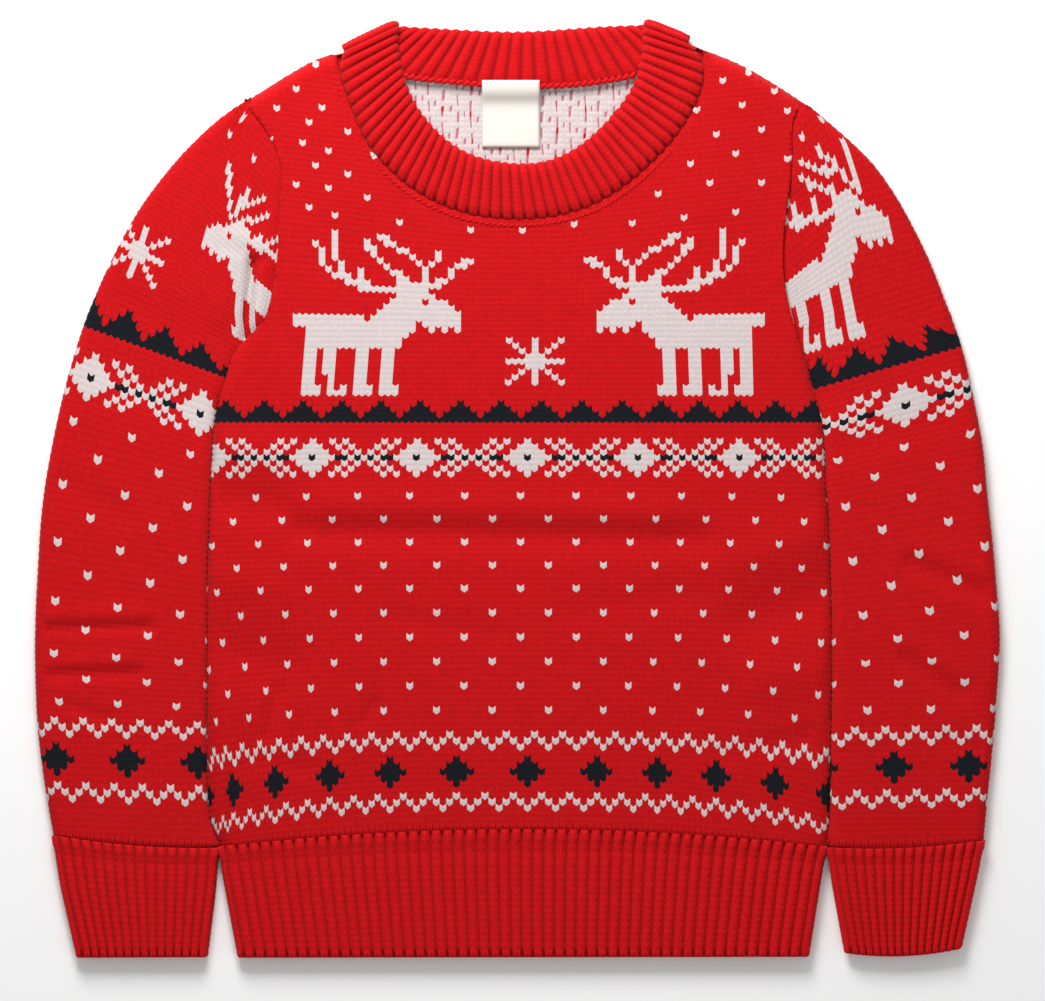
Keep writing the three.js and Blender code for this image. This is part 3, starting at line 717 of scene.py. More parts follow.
@dataclass
class Chart:
    """A knitting chart: a yarn for each course and wale, drawn in whole stitches."""

    first_wale: int
    wales: int
    first_course: int
    courses: int

    # A repeat is worked this often to each side of its first place, which passes every edge.
    REPEATS = 16
    # Half widths of a diamond's rows, by how far they are from its middle row.
    SMALL_DIAMOND = ((-2, 0), (-1, 1), (0, 2), (1, 1), (2, 0))
    LARGE_DIAMOND = ((-3, 0), (-2, 1), (-1, 2), (0, 3), (1, 2), (2, 1), (3, 0))
    PEAK = ((0, 3), (1, 2), (2, 1), (3, 0))

    def __post_init__(self) -> None:
        """Starts in plain red."""
        self.yarn = np.full((self.courses, self.wales), int(Yarn.RED))

    def put(self, wale: int, course: int, yarn: Yarn) -> None:
        """Works one stitch in a yarn, if it lies on the chart."""
        column, row = wale - self.first_wale, course - self.first_course
        if 0 <= column < self.wales and 0 <= row < self.courses:
            self.yarn[row, column] = yarn

    def row(self, course: int, left: int, right: int, yarn: Yarn) -> None:
        """Works stitches from left to right on one course."""
        for wale in range(left, right + 1):
            self.put(wale, course, yarn)

    def zigzag(self, low_course: int, shift: int = 0) -> None:
        """A white zigzag of three courses that repeats every four stitches."""
        heights = (0, 1, 2, 1)
        for wale in range(self.first_wale, self.first_wale + self.wales):
            self.put(wale, low_course + heights[(wale + shift) % 4], Yarn.WHITE)

    def middles(self, wale: int, pitch: int) -> range:
        """The middle wales of a repeat through a wale."""
        reach = self.REPEATS * pitch
        return range(wale - reach, wale + reach + 1, pitch)

    def stack(self, course: int, wale: int, rows: tuple[tuple[int, int], ...], yarn: Yarn) -> None:
        """Works rows of given half widths round a stitch."""
        for step, half in rows:
            self.row(course + step, wale - half, wale + half, yarn)

    def diamonds(self, course: int, wale: int) -> None:
        """Black diamonds five stitches wide, ten stitches apart."""
        for middle in self.middles(wale, 10):
            self.stack(course, middle, self.SMALL_DIAMOND, Yarn.BLACK)

    def lice(self, courses: Iterable[int], wale: int) -> None:
        """Single white stitches eight apart."""
        for course in courses:
            for middle in self.middles(wale, 8):
                self.put(middle, course, Yarn.WHITE)

    def rosettes(self, course: int, wale: int) -> None:
        """White rosettes with a black middle sixteen stitches apart, and dotted crosses between."""
        dots = ((3, 3), (5, 3), (4, 2), (6, 2), (5, 1), (7, 1))
        for middle in self.middles(wale, 16):
            self.stack(course, middle, self.LARGE_DIAMOND, Yarn.WHITE)
            self.put(middle, course, Yarn.BLACK)
            for reach, step in dots:
                for side in (-1, 1):
                    self.put(middle + side * reach, course + step, Yarn.WHITE)
                    self.put(middle + side * reach, course - step, Yarn.WHITE)
            for offset in (6, 8, 10):
                self.put(middle + offset, course, Yarn.WHITE)
            for offset in (4, 5, 7, 9, 11, 12):
                self.put(middle + offset, course, Yarn.BLACK)

    def mountains(self, course: int, wale: int) -> None:
        """A black row of peaks, six stitches each."""
        for middle in self.middles(wale, 6):
            self.stack(course, middle, self.PEAK, Yarn.BLACK)

    def snowflake(self, course: int, wale: int) -> None:
        """A white flake of nine by nine stitches: a small block with eight thin arms."""
        for step in (-1, 0, 1):
            self.row(course + step, wale - 1, wale + 1, Yarn.WHITE)
        for reach in (2, 3, 4):
            for side in (-1, 1):
                self.put(wale + side * reach, course, Yarn.WHITE)
                self.put(wale, course + side * reach, Yarn.WHITE)
                self.put(wale + reach, course + side * reach, Yarn.WHITE)
                self.put(wale - reach, course + side * reach, Yarn.WHITE)

    def stroke(self, spots: list[tuple[float, float]], width: float, place: Callable) -> None:
        """Works the stitches within half a width of a broken line.

        Args:
            spots: The line's points, in stitches of the figure.
            width: The line's width in stitches.
            place: Gives the wale and course of a stitch of the figure.
        """
        for (ax, ay), (bx, by) in zip(spots, spots[1:]):
            steps = max(int(2 * math.hypot(bx - ax, by - ay)), 1)
            for i in range(steps + 1):
                x, y = ax + (bx - ax) * i / steps, ay + (by - ay) * i / steps
                reach = width / 2 - 0.5
                for column in {round(x - reach), round(x + reach)}:
                    wale, course = place(column, round(y))
                    self.put(wale, course, Yarn.WHITE)

    def fill(self, spots: list[tuple[float, float]], place: Callable) -> None:
        """Works the stitches inside an area."""
        area = np.array(spots, float)
        columns, rows = np.meshgrid(np.arange(-2, 32), np.arange(-2, 34))
        inside = inside_polygon(area, columns.astype(float), rows.astype(float))
        for column, row in zip(columns[inside], rows[inside]):
            wale, course = place(int(column), int(row))
            self.put(wale, course, Yarn.WHITE)

    def reindeer(
        self, nose_wale: int, feet_course: int, facing: int, antlers: list[list[tuple[float, float]]],
    ) -> None:
        """A standing white reindeer, its head up.

        Args:
            nose_wale: The wale of its nose.
            feet_course: The course of its feet.
            facing: 1 for right, -1 for left.
            antlers: The antlers' broken lines, in stitches from its tail and feet.
        """
        nose = 26

        def place(column: int, row: int) -> tuple[int, int]:
            """The wale and course of a stitch of the figure."""
            return nose_wale + facing * (column - nose), feet_course + row

        self.fill([(1.6, 14.6), (1.6, 8.6), (15.6, 8.4), (18.4, 12.4), (18.6, 14.4), (19.4, 19.4),
                   (18, 20.4), (15.4, 20.4), (15.2, 18.2), (11.4, 13.9)], place)
        self.fill([(16, 20.4), (18.6, 14.4), (20.4, 12.6), (25.4, 12.6), (25, 15.2), (22.6, 17.4),
                   (20, 19.4), (18.2, 20.6)], place)
        self.stroke([(0, 13), (1, 14)], 1, place)
        self.stroke([(0, 14), (1, 13)], 1, place)
        for tooth in (21, 23, 25):
            wale, course = place(tooth, 12)
            self.put(wale, course, Yarn.WHITE)
        for top, foot in ((2, 2), (5, 6), (10, 10), (14, 14)):
            self.stroke([(top, 8), (top, 4), (foot, 2), (foot, 0)], 1, place)
            self.stroke([(foot, 0), (foot + 1, 0), (foot + 2, 1)], 1, place)
        for thick, foot in ((3, 3), (11, 11), (15, 15)):
            self.stroke([(thick, 8), (thick, 4), (foot, 1)], 1, place)
        self.stroke([(6, 8), (6, 4)], 1, place)
        for line in antlers:
            self.stroke(line, 1, place)
        wale, course = place(20, 17)
        self.put(wale, course, Yarn.RED)


# Antlers as broken lines, in stitches from the reindeer's tail and feet.
BODY_ANTLERS = [
    [(15, 19), (11, 19), (8, 20), (5, 22), (4, 24), (3, 26)], [(9, 20), (7, 22), (6, 25), (6, 28)],
    [(11, 20), (10, 22)], [(16, 21), (14, 23), (12, 25), (11, 27)], [(17, 21), (15, 22)],
    [(20, 21), (20, 23), (18, 25), (15, 27), (13, 28)], [(20, 20), (23, 21), (25, 24), (27, 25)],
    [(21, 24), (22, 26)],
]
LEFT_ANTLERS = [
    [(16, 19), (13, 19), (10, 20), (7, 21)], [(12, 20), (9, 23)], [(14, 19), (13, 21)],
    [(18, 21), (15, 23), (13, 25)], [(21, 20), (23, 23), (25, 27)], [(20, 21), (19, 26)],
    [(19, 23), (15, 27)],
]
RIGHT_ANTLERS = [
    [(15, 19), (9, 20), (7, 21), (4, 24)], [(9, 21), (5, 27)], [(11, 20), (12, 22)],
    [(17, 20), (14, 23), (11, 26)], [(21, 20), (21, 27)], [(20, 21), (18, 24), (16, 28)],
    [(18, 24), (15, 25), (12, 28)],
]


# Spots of the single white stitches over the yoke, photo column and row.
YOKE_LICE = [
    (276, 210), (308, 210), (338, 217.6), (402, 224), (471, 231), (522, 231.5), (574, 227),
    (632, 223.5), (682, 216), (734, 212), (297, 186), (327.6, 191), (366.5, 200), (659, 196),
    (708.5, 184), (761, 183), (317, 165), (345, 175), (280, 171), (300, 145), (330, 151), (371, 156),
    (269, 138), (309, 125), (349, 131), (279, 111), (325, 109), (295, 88), (318, 66), (687.6, 165),
    (736, 156), (789, 159), (666, 148), (715, 135), (763, 128), (797.5, 137), (694.5, 112),
    (743, 108), (785, 111), (815, 115), (721, 84), (772, 90), (751, 72),
]


@dataclass
class BodyPanel:
    """What front and back share: the run of their courses and wales, and the body's outline."""

    knit_wall: float = 2.4
    layer_gap: float = 0.3
    slant: float = 0.4
    first_wale: int = -66
    wales: int = 124
    first_course: int = -3
    courses: int = 152
    waist_bow: float = 8.5
    seam_reach: float = 1.0

    # Photo row of the middle of each course line.
    COURSE_ROWS = [
        (-4, 852), (0, 828), (4.5, 801), (9.5, 771), (14.5, 740), (19.5, 709.5), (39.5, 588),
        (55.5, 495.5), (62.5, 457.6), (69.4, 420.4), (72.5, 403.5), (105.5, 231), (150, -5),
    ]
    # How much lower than its middle a course lies at the sides, in photo pixels.
    SAG_ROWS = [
        (0, 17), (2, 24), (4, 28), (9, 26), (14, 21), (19, 13), (35, 5), (55, 4), (62, 0), (150, 0),
    ]
    # How sharply the sag grows towards the sides, and how much the yoke's courses rise there.
    SAG_POWER = [(0, 2.0), (4, 3.5)]
    YOKE_SLOPE = [(86, 0), (105, 0.108)]
    YOKE_FLAT_HALF = 45
    # Photo columns of the wales at three heights; at the highest their pitch is even.
    LOW_WALES = [
        (-66, 196), (-60, 208), (-50, 232), (-40, 273), (-30, 327), (-20, 387), (-10, 453), (0, 524),
        (10, 594), (20, 654), (30, 712.6), (40, 772), (50, 826), (58, 866),
    ]
    MIDDLE_WALES = [
        (-66, 96), (-48, 206), (-32, 309), (-16, 413), (0, 524), (16, 634.5), (32, 736), (48, 834),
        (66, 935),
    ]
    HIGH_WALE_PITCH = 6.45
    HIGH_MIDDLE = 525.6
    # Photo rows of those heights, and the photo column and half width of the body.
    LOW_LINE, MIDDLE_LINE, HIGH_LINE = 771, 457, 330
    BODY_MIDDLE, BODY_HALF = 520.0, 312.0
    # Points on each stretch of the outline, and the stitches among which the yoke's spots lie.
    STRETCH_POINTS = 60
    YOKE_COURSES, YOKE_WALES = (95, 148), (-60, 60)

    def __post_init__(self) -> None:
        """Builds the side curves."""
        self.left = PlanCurve(BODY_LEFT)
        self.right = PlanCurve(BODY_RIGHT)

    def outline(self, neck: list[tuple[float, float]]) -> np.ndarray:
        """The panel's closed outline.

        Args:
            neck: The neck edge from left to right.

        Returns:
            The outline's points, from the waistband's left end round to the right.
        """
        share = np.linspace(0, 1, self.STRETCH_POINTS)
        start, end = np.array(BODY_LEFT[0]), np.array(BODY_RIGHT[0])
        bottom = start + share[:, None] * (end - start)
        bottom[:, 1] += self.waist_bow * (1 - (2 * share - 1) ** 2) - self.seam_reach
        across_left = PlanCurve([BODY_LEFT[-1], *SHOULDER_LEFT, neck[0]])
        across_right = PlanCurve([neck[-1], *SHOULDER_RIGHT, BODY_RIGHT[-1]])
        neck_line = PlanCurve(neck)
        return np.concatenate([
            bottom, self.right.at(share)[1:], across_right.at(share)[::-1][1:],
            neck_line.at(share)[::-1][1:], across_left.at(share)[::-1][1:], self.left.at(share)[::-1][1:-1],
        ])

    def plan(self, wale: np.ndarray, course: np.ndarray) -> tuple[np.ndarray, np.ndarray]:
        """Where a wale and a course meet.

        Args:
            wale: Wales counted from the middle.
            course: Courses counted from the waistband.

        Returns:
            Plan x and y in millimetres.
        """
        middle = read_rows(self.COURSE_ROWS, course)
        low = read_rows(self.LOW_WALES, wale)
        centre = read_rows(self.MIDDLE_WALES, wale)
        high = self.HIGH_MIDDLE + self.HIGH_WALE_PITCH * wale
        to_middle = np.clip((self.LOW_LINE - middle) / (self.LOW_LINE - self.MIDDLE_LINE), 0, 1)
        to_high = np.clip((self.MIDDLE_LINE - middle) / (self.MIDDLE_LINE - self.HIGH_LINE), 0, 1)
        x = low + (centre - low) * to_middle + (high - centre) * to_high
        aside = np.abs(x - self.BODY_MIDDLE)
        power = read_rows(self.SAG_POWER, course)
        y = middle + read_rows(self.SAG_ROWS, course) * np.minimum(aside / self.BODY_HALF, 1.1) ** power
        y = y - read_rows(self.YOKE_SLOPE, course) * np.maximum(aside - self.YOKE_FLAT_HALF, 0)
        return photo_x(x), photo_y(y)

    def grid(self, outline: np.ndarray) -> dict[str, np.ndarray]:
        """The knit lattice in plan, its border drawn onto the outline.

        Args:
            outline: The panel's closed outline.

        Returns:
            The corners' x and y, the kept cells, the legs and the lean of the column lines.
        """
        legs, lean = knit_columns(self.wales, self.slant)
        lines = np.arange(2 * self.wales + 1)
        course = self.first_course + np.arange(self.courses + 1)[:, None] + lean[None]
        wale = np.broadcast_to(self.first_wale + lines / 2, course.shape)
        x, y = self.plan(wale, course - self.slant / 2)
        middle_x = (x[:-1, :-1] + x[1:, 1:] + x[:-1, 1:] + x[1:, :-1]) / 4
        middle_y = (y[:-1, :-1] + y[1:, 1:] + y[:-1, 1:] + y[1:, :-1]) / 4
        kept = inside_polygon(outline, middle_x, middle_y)
        draw_to_outline(outline, x, y, kept)
        return {"x": x, "y": y, "kept": kept, "legs": legs, "slant": lean}

    def chart(self) -> Chart:
        """The body's picture knitting, from the hem to the shoulders."""
        chart = Chart(self.first_wale, self.wales, self.first_course, self.courses)
        chart.zigzag(3)
        chart.diamonds(9, 0)
        chart.zigzag(13, 1)
        chart.lice(range(19, 52, 8), 3)
        chart.lice(range(23, 56, 8), -1)
        chart.rosettes(62, 0)
        chart.mountains(69, 2)
        chart.reindeer(-10, 74, 1, BODY_ANTLERS)
        chart.reindeer(10, 74, -1, BODY_ANTLERS)
        chart.snowflake(80, 1)
        # Over the yoke each single white stitch is the one nearest to its spot.
        span = np.arange(*self.YOKE_COURSES), np.arange(*self.YOKE_WALES)
        course, wale = np.meshgrid(*span, indexing="ij")
        x, y = self.plan(wale + 0.5, course + 0.5)
        for pixel_x, pixel_y in YOKE_LICE:
            best = np.hypot(x - photo_x(pixel_x), y - photo_y(pixel_y)).argmin()
            chart.put(int(wale.flat[best]), int(course.flat[best]), Yarn.WHITE)
        return chart


@dataclass
class Front(BodyPanel):
    """The front panel, over the back and folded down at its sides and shoulders."""

    height: float = 7.2
    side_radius: float = 8
    shoulder_radius: float = 6
    seam_gap: float = 0.05
    relief: float = 0.52
    # The stitches' feet lie a little under the form's face, and their ridges stand over it.
    base: float = -0.15

    # How far the side is folded down, by height on the body.
    SIDE_FOLD = [(-171, 1), (52, 1), (76, 0), (190, 0)]
    SHOULDER_SLOPE_COSINE = 0.87

    def neck(self) -> list[tuple[float, float]]:
        """Neck rows just outside the neckband's sewn edge."""
        rows = np.array(NECK_SEWN_FRONT[1:-1])
        rows = rows + self.seam_gap * unit(rows - NECK_MIDDLE)
        return [FRONT_NECK_ENDS[0], *map(tuple, rows), FRONT_NECK_ENDS[1]]

    def lift(self, x: np.ndarray, y: np.ndarray) -> np.ndarray:
        """Height of the panel's outer face.

        Args:
            x: Plan x of the points.
            y: Plan y of the points.

        Returns:
            The heights in millimetres.
        """
        fold = read_rows(self.SIDE_FOLD, y)
        inset = np.minimum(x - self.left.x_at(y), self.right.x_at(y) - x)
        turn = 1 - np.clip(inset / self.side_radius, 0, 1)
        rise_side = 1 + (np.sqrt(1 - turn**2) - 1) * fold
        shoulders = [BODY_LEFT[-1], *SHOULDER_LEFT, FRONT_NECK_ENDS[0]]
        far_shoulders = [FRONT_NECK_ENDS[1], *SHOULDER_RIGHT, BODY_RIGHT[-1]]
        edge = read_rows([*shoulders, *far_shoulders], x)
        over_shoulder = (x < FRONT_NECK_ENDS[0][0]) | (x > FRONT_NECK_ENDS[1][0])
        below = np.clip((edge - y) * self.SHOULDER_SLOPE_COSINE / self.shoulder_radius, 0, 1)
        rise_top = np.where(over_shoulder, np.sqrt(1 - (1 - below) ** 2), 1)
        rise = rise_side * rise_top
        seam = self.knit_wall + self.layer_gap
        flat = self.height + crease_height(FRONT_CREASES, x, y) * rise
        return seam + (flat - seam) * rise + self.base

    def build(self) -> bpy.types.Object:
        """Knits the panel."""
        grid = self.grid(self.outline(self.neck()))
        corners = np.stack([grid["x"], grid["y"], self.lift(grid["x"], grid["y"])], axis=-1)
        yarn = np.repeat(self.chart().yarn, 2, axis=1)
        knit = Lattice(corners, grid["legs"], grid["slant"], grid["kept"], self.relief, yarn)
        return knit.add_to(MeshParts()).build("front_panel", KNIT_YARNS)


@dataclass
class Back(BodyPanel):
    """The back panel: its outside on the surface, its inside shown in the neck opening."""

    relief: float = 0.45
    outside: float = 0.5
    inside_relief: float = 0.55
    inside_left: float = -76
    inside_low: float = 118
    inside_wales: int = 46
    inside_courses: int = 34
    inside_slant: float = 0.3
    float_wale: float = 3.4
    float_course: float = 2.6
    float_gather: float = 0.2
    # How far the floats wander to the side, over how many millimetres of height and from line to
    # line.
    wander: float = 0.5
    wander_run: float = 5.5
    wander_step: float = 0.7
    # The inside's stitches start a little under the wall's face, and the ladders barely stand out.
    inside_sink: float = 0.1
    ladder_relief: float = 0.05

    def build(self) -> bpy.types.Object:
        """Knits the panel and the inside that shows."""
        outline = self.outline(NECK_SEWN_BACK)
        grid = self.grid(outline)
        level = np.full(grid["x"].shape, self.outside)
        corners = np.stack([grid["x"], grid["y"], level], axis=-1)
        yarn = np.repeat(self.chart().yarn, 2, axis=1)
        knit = Lattice(
            corners, grid["legs"], grid["slant"], grid["kept"], self.relief, yarn, outward=-1, rim_mm=1.9,
        )
        parts = knit.add_to(MeshParts())
        return self.inside(outline).add_to(parts).build("back_panel", KNIT_YARNS)

    def inside(self, outline: np.ndarray) -> Lattice:
        """The inside round the label: ladders of white floats with red between them."""
        legs, lean = knit_columns(self.inside_wales, self.inside_slant)
        lines = np.arange(2 * self.inside_wales + 1)
        course = np.arange(self.inside_courses + 1)[:, None] + lean[None]
        wale = lines / 2 + self.float_gather * (lines % 2)
        y = self.inside_low + course * self.float_course
        sway = self.wander * np.sin(y / self.wander_run + lines[None] * self.wander_step)
        x = self.inside_left + wale * self.float_wale + sway
        middle_x = (x[:-1, :-1] + x[1:, 1:]) / 2
        middle_y = (y[:-1, :-1] + y[1:, 1:]) / 2
        kept = inside_polygon(outline, middle_x, middle_y)
        draw_to_outline(outline, x, y, kept, within=2 * self.float_course)
        level = np.full(x.shape, self.knit_wall - self.inside_sink)
        ridge = np.full(kept.shape, self.inside_relief)
        yarn = np.full(kept.shape, int(Yarn.WHITE))
        row, column = np.indices(kept.shape)
        ladder = (column % 4 == 3) & ((row + column // 4) % 3 > 0)
        faint = (column % 4 == 1) & ((row * 2 + column // 2) % 5 == 0)
        yarn[ladder | faint] = Yarn.MIXED
        ridge[ladder | faint] = self.ladder_relief
        yarn[(column % 8 == 7) & ((row + column // 8) % 5 == 1)] = Yarn.RED
        return Lattice(np.stack([x, y, level], axis=-1), legs, lean, kept, ridge, yarn, rim_mm=0.6)


# Sleeves


@dataclass
class Sleeve:
    """A sleeve panel wrapped round into a tube, its cap laid into the armhole."""

    name: str
    side: int
    rows: list[tuple[float, ...]]
    body_side: list[tuple[float, float]]
    creases: list[tuple[float, ...]]
    # Photo places of the middle wale, from the cuff up: column, row.
    middle_wale: list[tuple[float, float]]
    # Photo row of each course line on the middle wale.
    course_rows: list[tuple[float, float]]
    # Wale pitch in photo pixels by course.
    pitch_rows: list[tuple[float, float]]
    # How much the wales are narrowed on the body's side, by course.
    inner_rows: list[tuple[float, float]]
    # How many courses a course climbs a wale towards the outer fold, beyond the sections' own
    # lean: on the outer side of the middle wale, then on the body's side.
    tilt_rows: list[tuple[float, float]]
    inner_tilt_rows: list[tuple[float, float]]
    # Spots of single white stitches near the top of the cap, photo column and row.
    spots: list[tuple[float, float]]
    first_course: int = -7
    courses: int = 152
    knit_wall: float = 2.4
    height: float = 6.8
    layer_gap: float = 0.3
    seam_gap: float = 0.1
    tuck: float = 2.2
    dip: float = 1.5
    hem_bow: float = 2.2
    fold_radius: float = 5
    relief: float = 0.52
    slant: float = 0.4
    first_wale: int = -36
    wales: int = 72

    SECTIONS = 220
    LOOP_POINTS = 360
    MOST_FOLD_SHARE = 0.3
    # Rounds that find the middle wale on a section, which leans.
    ROUNDS = 8
    # A border stitch within this many wales of the panel's edge is drawn onto it, and one in the
    # first sections onto the hem, whose line runs a little under the cuff.
    EDGE_WALES = 1.3
    HEM_SECTIONS = 11
    HEM_TUCK = 0.3
    # Spots of single stitches are looked for above this height, so not on the underside.
    TOP_LAYER = 4
    # How far a stitch may stand over the panel's edge, in millimetres, and still be kept.
    SLACK = 0.6
    LOWEST_UNDERSIDE = 0.5

    def sections(self) -> dict[str, np.ndarray]:
        """Sleeve sections from the cuff to the top of the cap, as the form has them.

        Returns:
            Each section's inner and outer edge, width, direction, fold and rise.
        """
        curve = PlanCurve(self.body_side)
        share = np.linspace(0, 1, self.SECTIONS)
        body = curve.at(share)
        step = 0.004
        tangent = curve.at(np.minimum(share + step, 1)) - curve.at(np.maximum(share - step, 0))
        across = np.stack([tangent[:, 1], -tangent[:, 0]], axis=1) * self.side
        table = np.array(self.rows, float)
        place = np.interp(body[:, 1], table[:, 2], np.arange(len(table)))
        # The cap is tucked a little under the front's edge, where the seam lies flat.
        fold = np.interp(place, np.arange(len(table)), table[:, 3])
        reach = (self.seam_gap * fold - self.tuck * (1 - fold))[:, None]
        start = body + reach * across / np.linalg.norm(across, axis=1, keepdims=True)
        outer = PlanCurve([(row[0], row[1]) for row in self.rows]).at_parameter(place / (len(table) - 1))
        width = np.linalg.norm(outer - start, axis=1)
        return {
            "start": start,
            "outer": outer,
            "width": width,
            "direction": (outer - start) / width[:, None],
            "fold": fold,
            "rise": np.interp(place, np.arange(len(table)), table[:, 4]),
        }

    def loop(
        self, start: np.ndarray, direction: np.ndarray, width: float, fold: float, rise: float
    ) -> tuple[np.ndarray, np.ndarray]:
        """The points round one section, from the inner edge of the top layer out and back under.

        Args:
            start: The inner edge's plan point.
            direction: The way from there to the outer fold.
            width: The section's width.
            fold: How far the inner edge is folded, from 0 to 1.
            rise: The section's share of the sleeve's height.

        Returns:
            The points, and the inset of each from the inner edge.
        """
        radius = min(self.fold_radius, width * self.MOST_FOLD_SHARE)
        top = self.height * rise
        seam_top, seam_bottom = (top + self.layer_gap) / 2, (top - self.layer_gap) / 2
        quarter = np.radians(np.linspace(0, 90, 8))
        inset_in = radius * (1 - np.cos(quarter))
        rise_in = 1 + (np.sin(quarter) - 1) * fold
        flat_in = inset_in[-1] + (width - 2 * radius) * np.linspace(0, 1, 40)[1:]
        turn = np.radians(np.linspace(90, -90, 15))[1:-1]
        insets = [inset_in, flat_in, width - radius * (1 - np.cos(turn)),
                  flat_in[::-1], inset_in[::-1]]
        inset = np.concatenate(insets)
        plan = start + inset[:, None] * direction
        crease = crease_height(self.creases, plan[:, 0], plan[:, 1])
        count_in, count_flat = len(inset_in), len(flat_in)
        lowest = self.knit_wall + self.layer_gap
        flat_top = np.maximum(top + crease[: count_in + count_flat], lowest)
        # The cap dips where the front's edge lies over it.
        dip_reach = 2 * self.tuck
        tucked = np.clip(1 - inset[: count_in + count_flat] / dip_reach, 0, 1)
        flat_top = flat_top - self.dip * tucked * (1 - fold)
        upper_in = seam_top + (flat_top[:count_in] - seam_top) * rise_in
        half = top / 2
        around = half + half * np.sin(turn)
        under = np.zeros(count_flat)
        lower_in = (seam_bottom * (1 - rise_in))[::-1]
        z = np.concatenate([upper_in, flat_top[count_in:], around, under, lower_in])
        return np.column_stack([plan, z]), inset

    def tube(self) -> dict[str, np.ndarray]:
        """All sections' loops at even steps.

        Returns:
            The loops, their lengths, and the middle wale's place round and height on each.
        """
        part = self.sections()
        wale_y = photo_y([row[1] for row in self.middle_wale])
        wale_x = photo_x([row[0] for row in self.middle_wale])
        loops, lengths, middles, heights = [], [], [], []
        for i in range(self.SECTIONS):
            points, inset = self.loop(
                part["start"][i], part["direction"][i], float(part["width"][i]),
                float(part["fold"][i]), float(part["rise"][i]),
            )
            along = run_lengths(points)
            loops.append(points_at(np.linspace(0, along[-1], self.LOOP_POINTS), along, points))
            lengths.append(along[-1])
            start, across = part["start"][i], part["outer"][i] - part["start"][i]
            share = 0.5
            for _ in range(self.ROUNDS):
                target = np.interp(start[1] + share * across[1], wale_y, wale_x)
                share = min(max((target - start[0]) / across[0], 0.1), 0.9)
            top_points = inset.argmax() + 1
            middles.append(np.interp(share * part["width"][i], inset[:top_points], along[:top_points]))
            heights.append(start[1] + share * across[1])
        return {
            "loops": np.array(loops), "length": np.array(lengths), "middle": np.array(middles),
            "height": np.maximum.accumulate(np.array(heights)),
        }

    def chart(self) -> Chart:
        """The sleeve's picture knitting."""
        chart = Chart(self.first_wale, self.wales, self.first_course, self.courses)
        chart.zigzag(5)
        chart.zigzag(15)
        first_louse, diamond, rosette = (-1, 0, 8) if self.side < 0 else (0, 5, 0)
        chart.diamonds(11, diamond)
        chart.lice(range(20, 61, 8), first_louse)
        chart.lice(range(24, 57, 8), first_louse + 4)
        chart.rosettes(67, rosette)
        chart.mountains(74, 1)
        if self.side < 0:
            chart.snowflake(87, -7)
            chart.reindeer(3, 82, -1, LEFT_ANTLERS)
        else:
            chart.reindeer(7, 79, 1, RIGHT_ANTLERS)
        return chart

    def build(self) -> bpy.types.Object:
        """Knits the sleeve."""
        tube = self.tube()
        legs, lean = knit_columns(self.wales, self.slant)
        lines = np.arange(2 * self.wales + 1)
        course = self.first_course + np.arange(self.courses + 1)[:, None] + lean[None] - self.slant / 2
        wale = np.broadcast_to(self.first_wale + lines / 2, course.shape)
        inward = -self.side * wale
        tilt = read_rows(self.tilt_rows, course)
        tilt = np.where(inward > 0, read_rows(self.inner_tilt_rows, course), tilt)
        turned = course - tilt * inward
        pixel_rows = read_rows(self.course_rows, turned)
        section = np.interp(photo_y(pixel_rows), tube["height"], np.arange(self.SECTIONS))
        pitch = read_rows(self.pitch_rows, course) * PIXEL_MM
        numbers = np.arange(self.SECTIONS)
        middle = np.interp(section, numbers, tube["middle"])
        length = np.interp(section, numbers, tube["length"])
        narrowed = np.where(inward > 0, read_rows(self.inner_rows, course), 1.0)
        along = middle + self.side * wale * pitch * narrowed
        reach, limit, level = ((line[:-1, :-1] + line[1:, 1:]) / 2 for line in (along, length, section))
        kept = (reach > -self.SLACK) & (reach < limit + self.SLACK)
        kept &= (level > 0) & (level < self.SECTIONS - 1)
        border = edge_vertices(kept)
        near = self.EDGE_WALES * pitch * narrowed
        along = np.where(border & (along < near), 0, along)
        along = np.where(border & (along > length - near), length, along)
        inside = (along > 0) & (along < length)
        section = np.where(border & inside & (section < self.HEM_SECTIONS), 0, section)
        place = np.clip(along / length, 0, 1) * (self.LOOP_POINTS - 1)
        corners = self.read_loops(tube["loops"], section, place)
        first, last = tube["loops"][0][0], tube["loops"][0][self.LOOP_POINTS // 2]
        share = np.clip((corners[..., 0] - first[0]) / (last[0] - first[0]), 0, 1)
        bow = self.hem_bow * (1 - (2 * share - 1) ** 2) + self.HEM_TUCK
        corners[..., 1] -= np.where(section <= 0, bow, 0)
        chart = self.chart()
        for pixel_x, pixel_y in self.spots:
            away = np.hypot(corners[..., 0] - photo_x(pixel_x), corners[..., 1] - photo_y(pixel_y))
            away[corners[..., 2] < self.TOP_LAYER] = math.inf
            row, line = np.unravel_index(away.argmin(), away.shape)
            chart.yarn[max(row - 1, 0), min(line // 2, self.wales - 1)] = Yarn.WHITE
        yarn = np.repeat(chart.yarn, 2, axis=1)
        knit = Lattice(corners, legs, lean, kept, self.relief, yarn)
        return knit.add_to(MeshParts()).build(self.name, KNIT_YARNS)

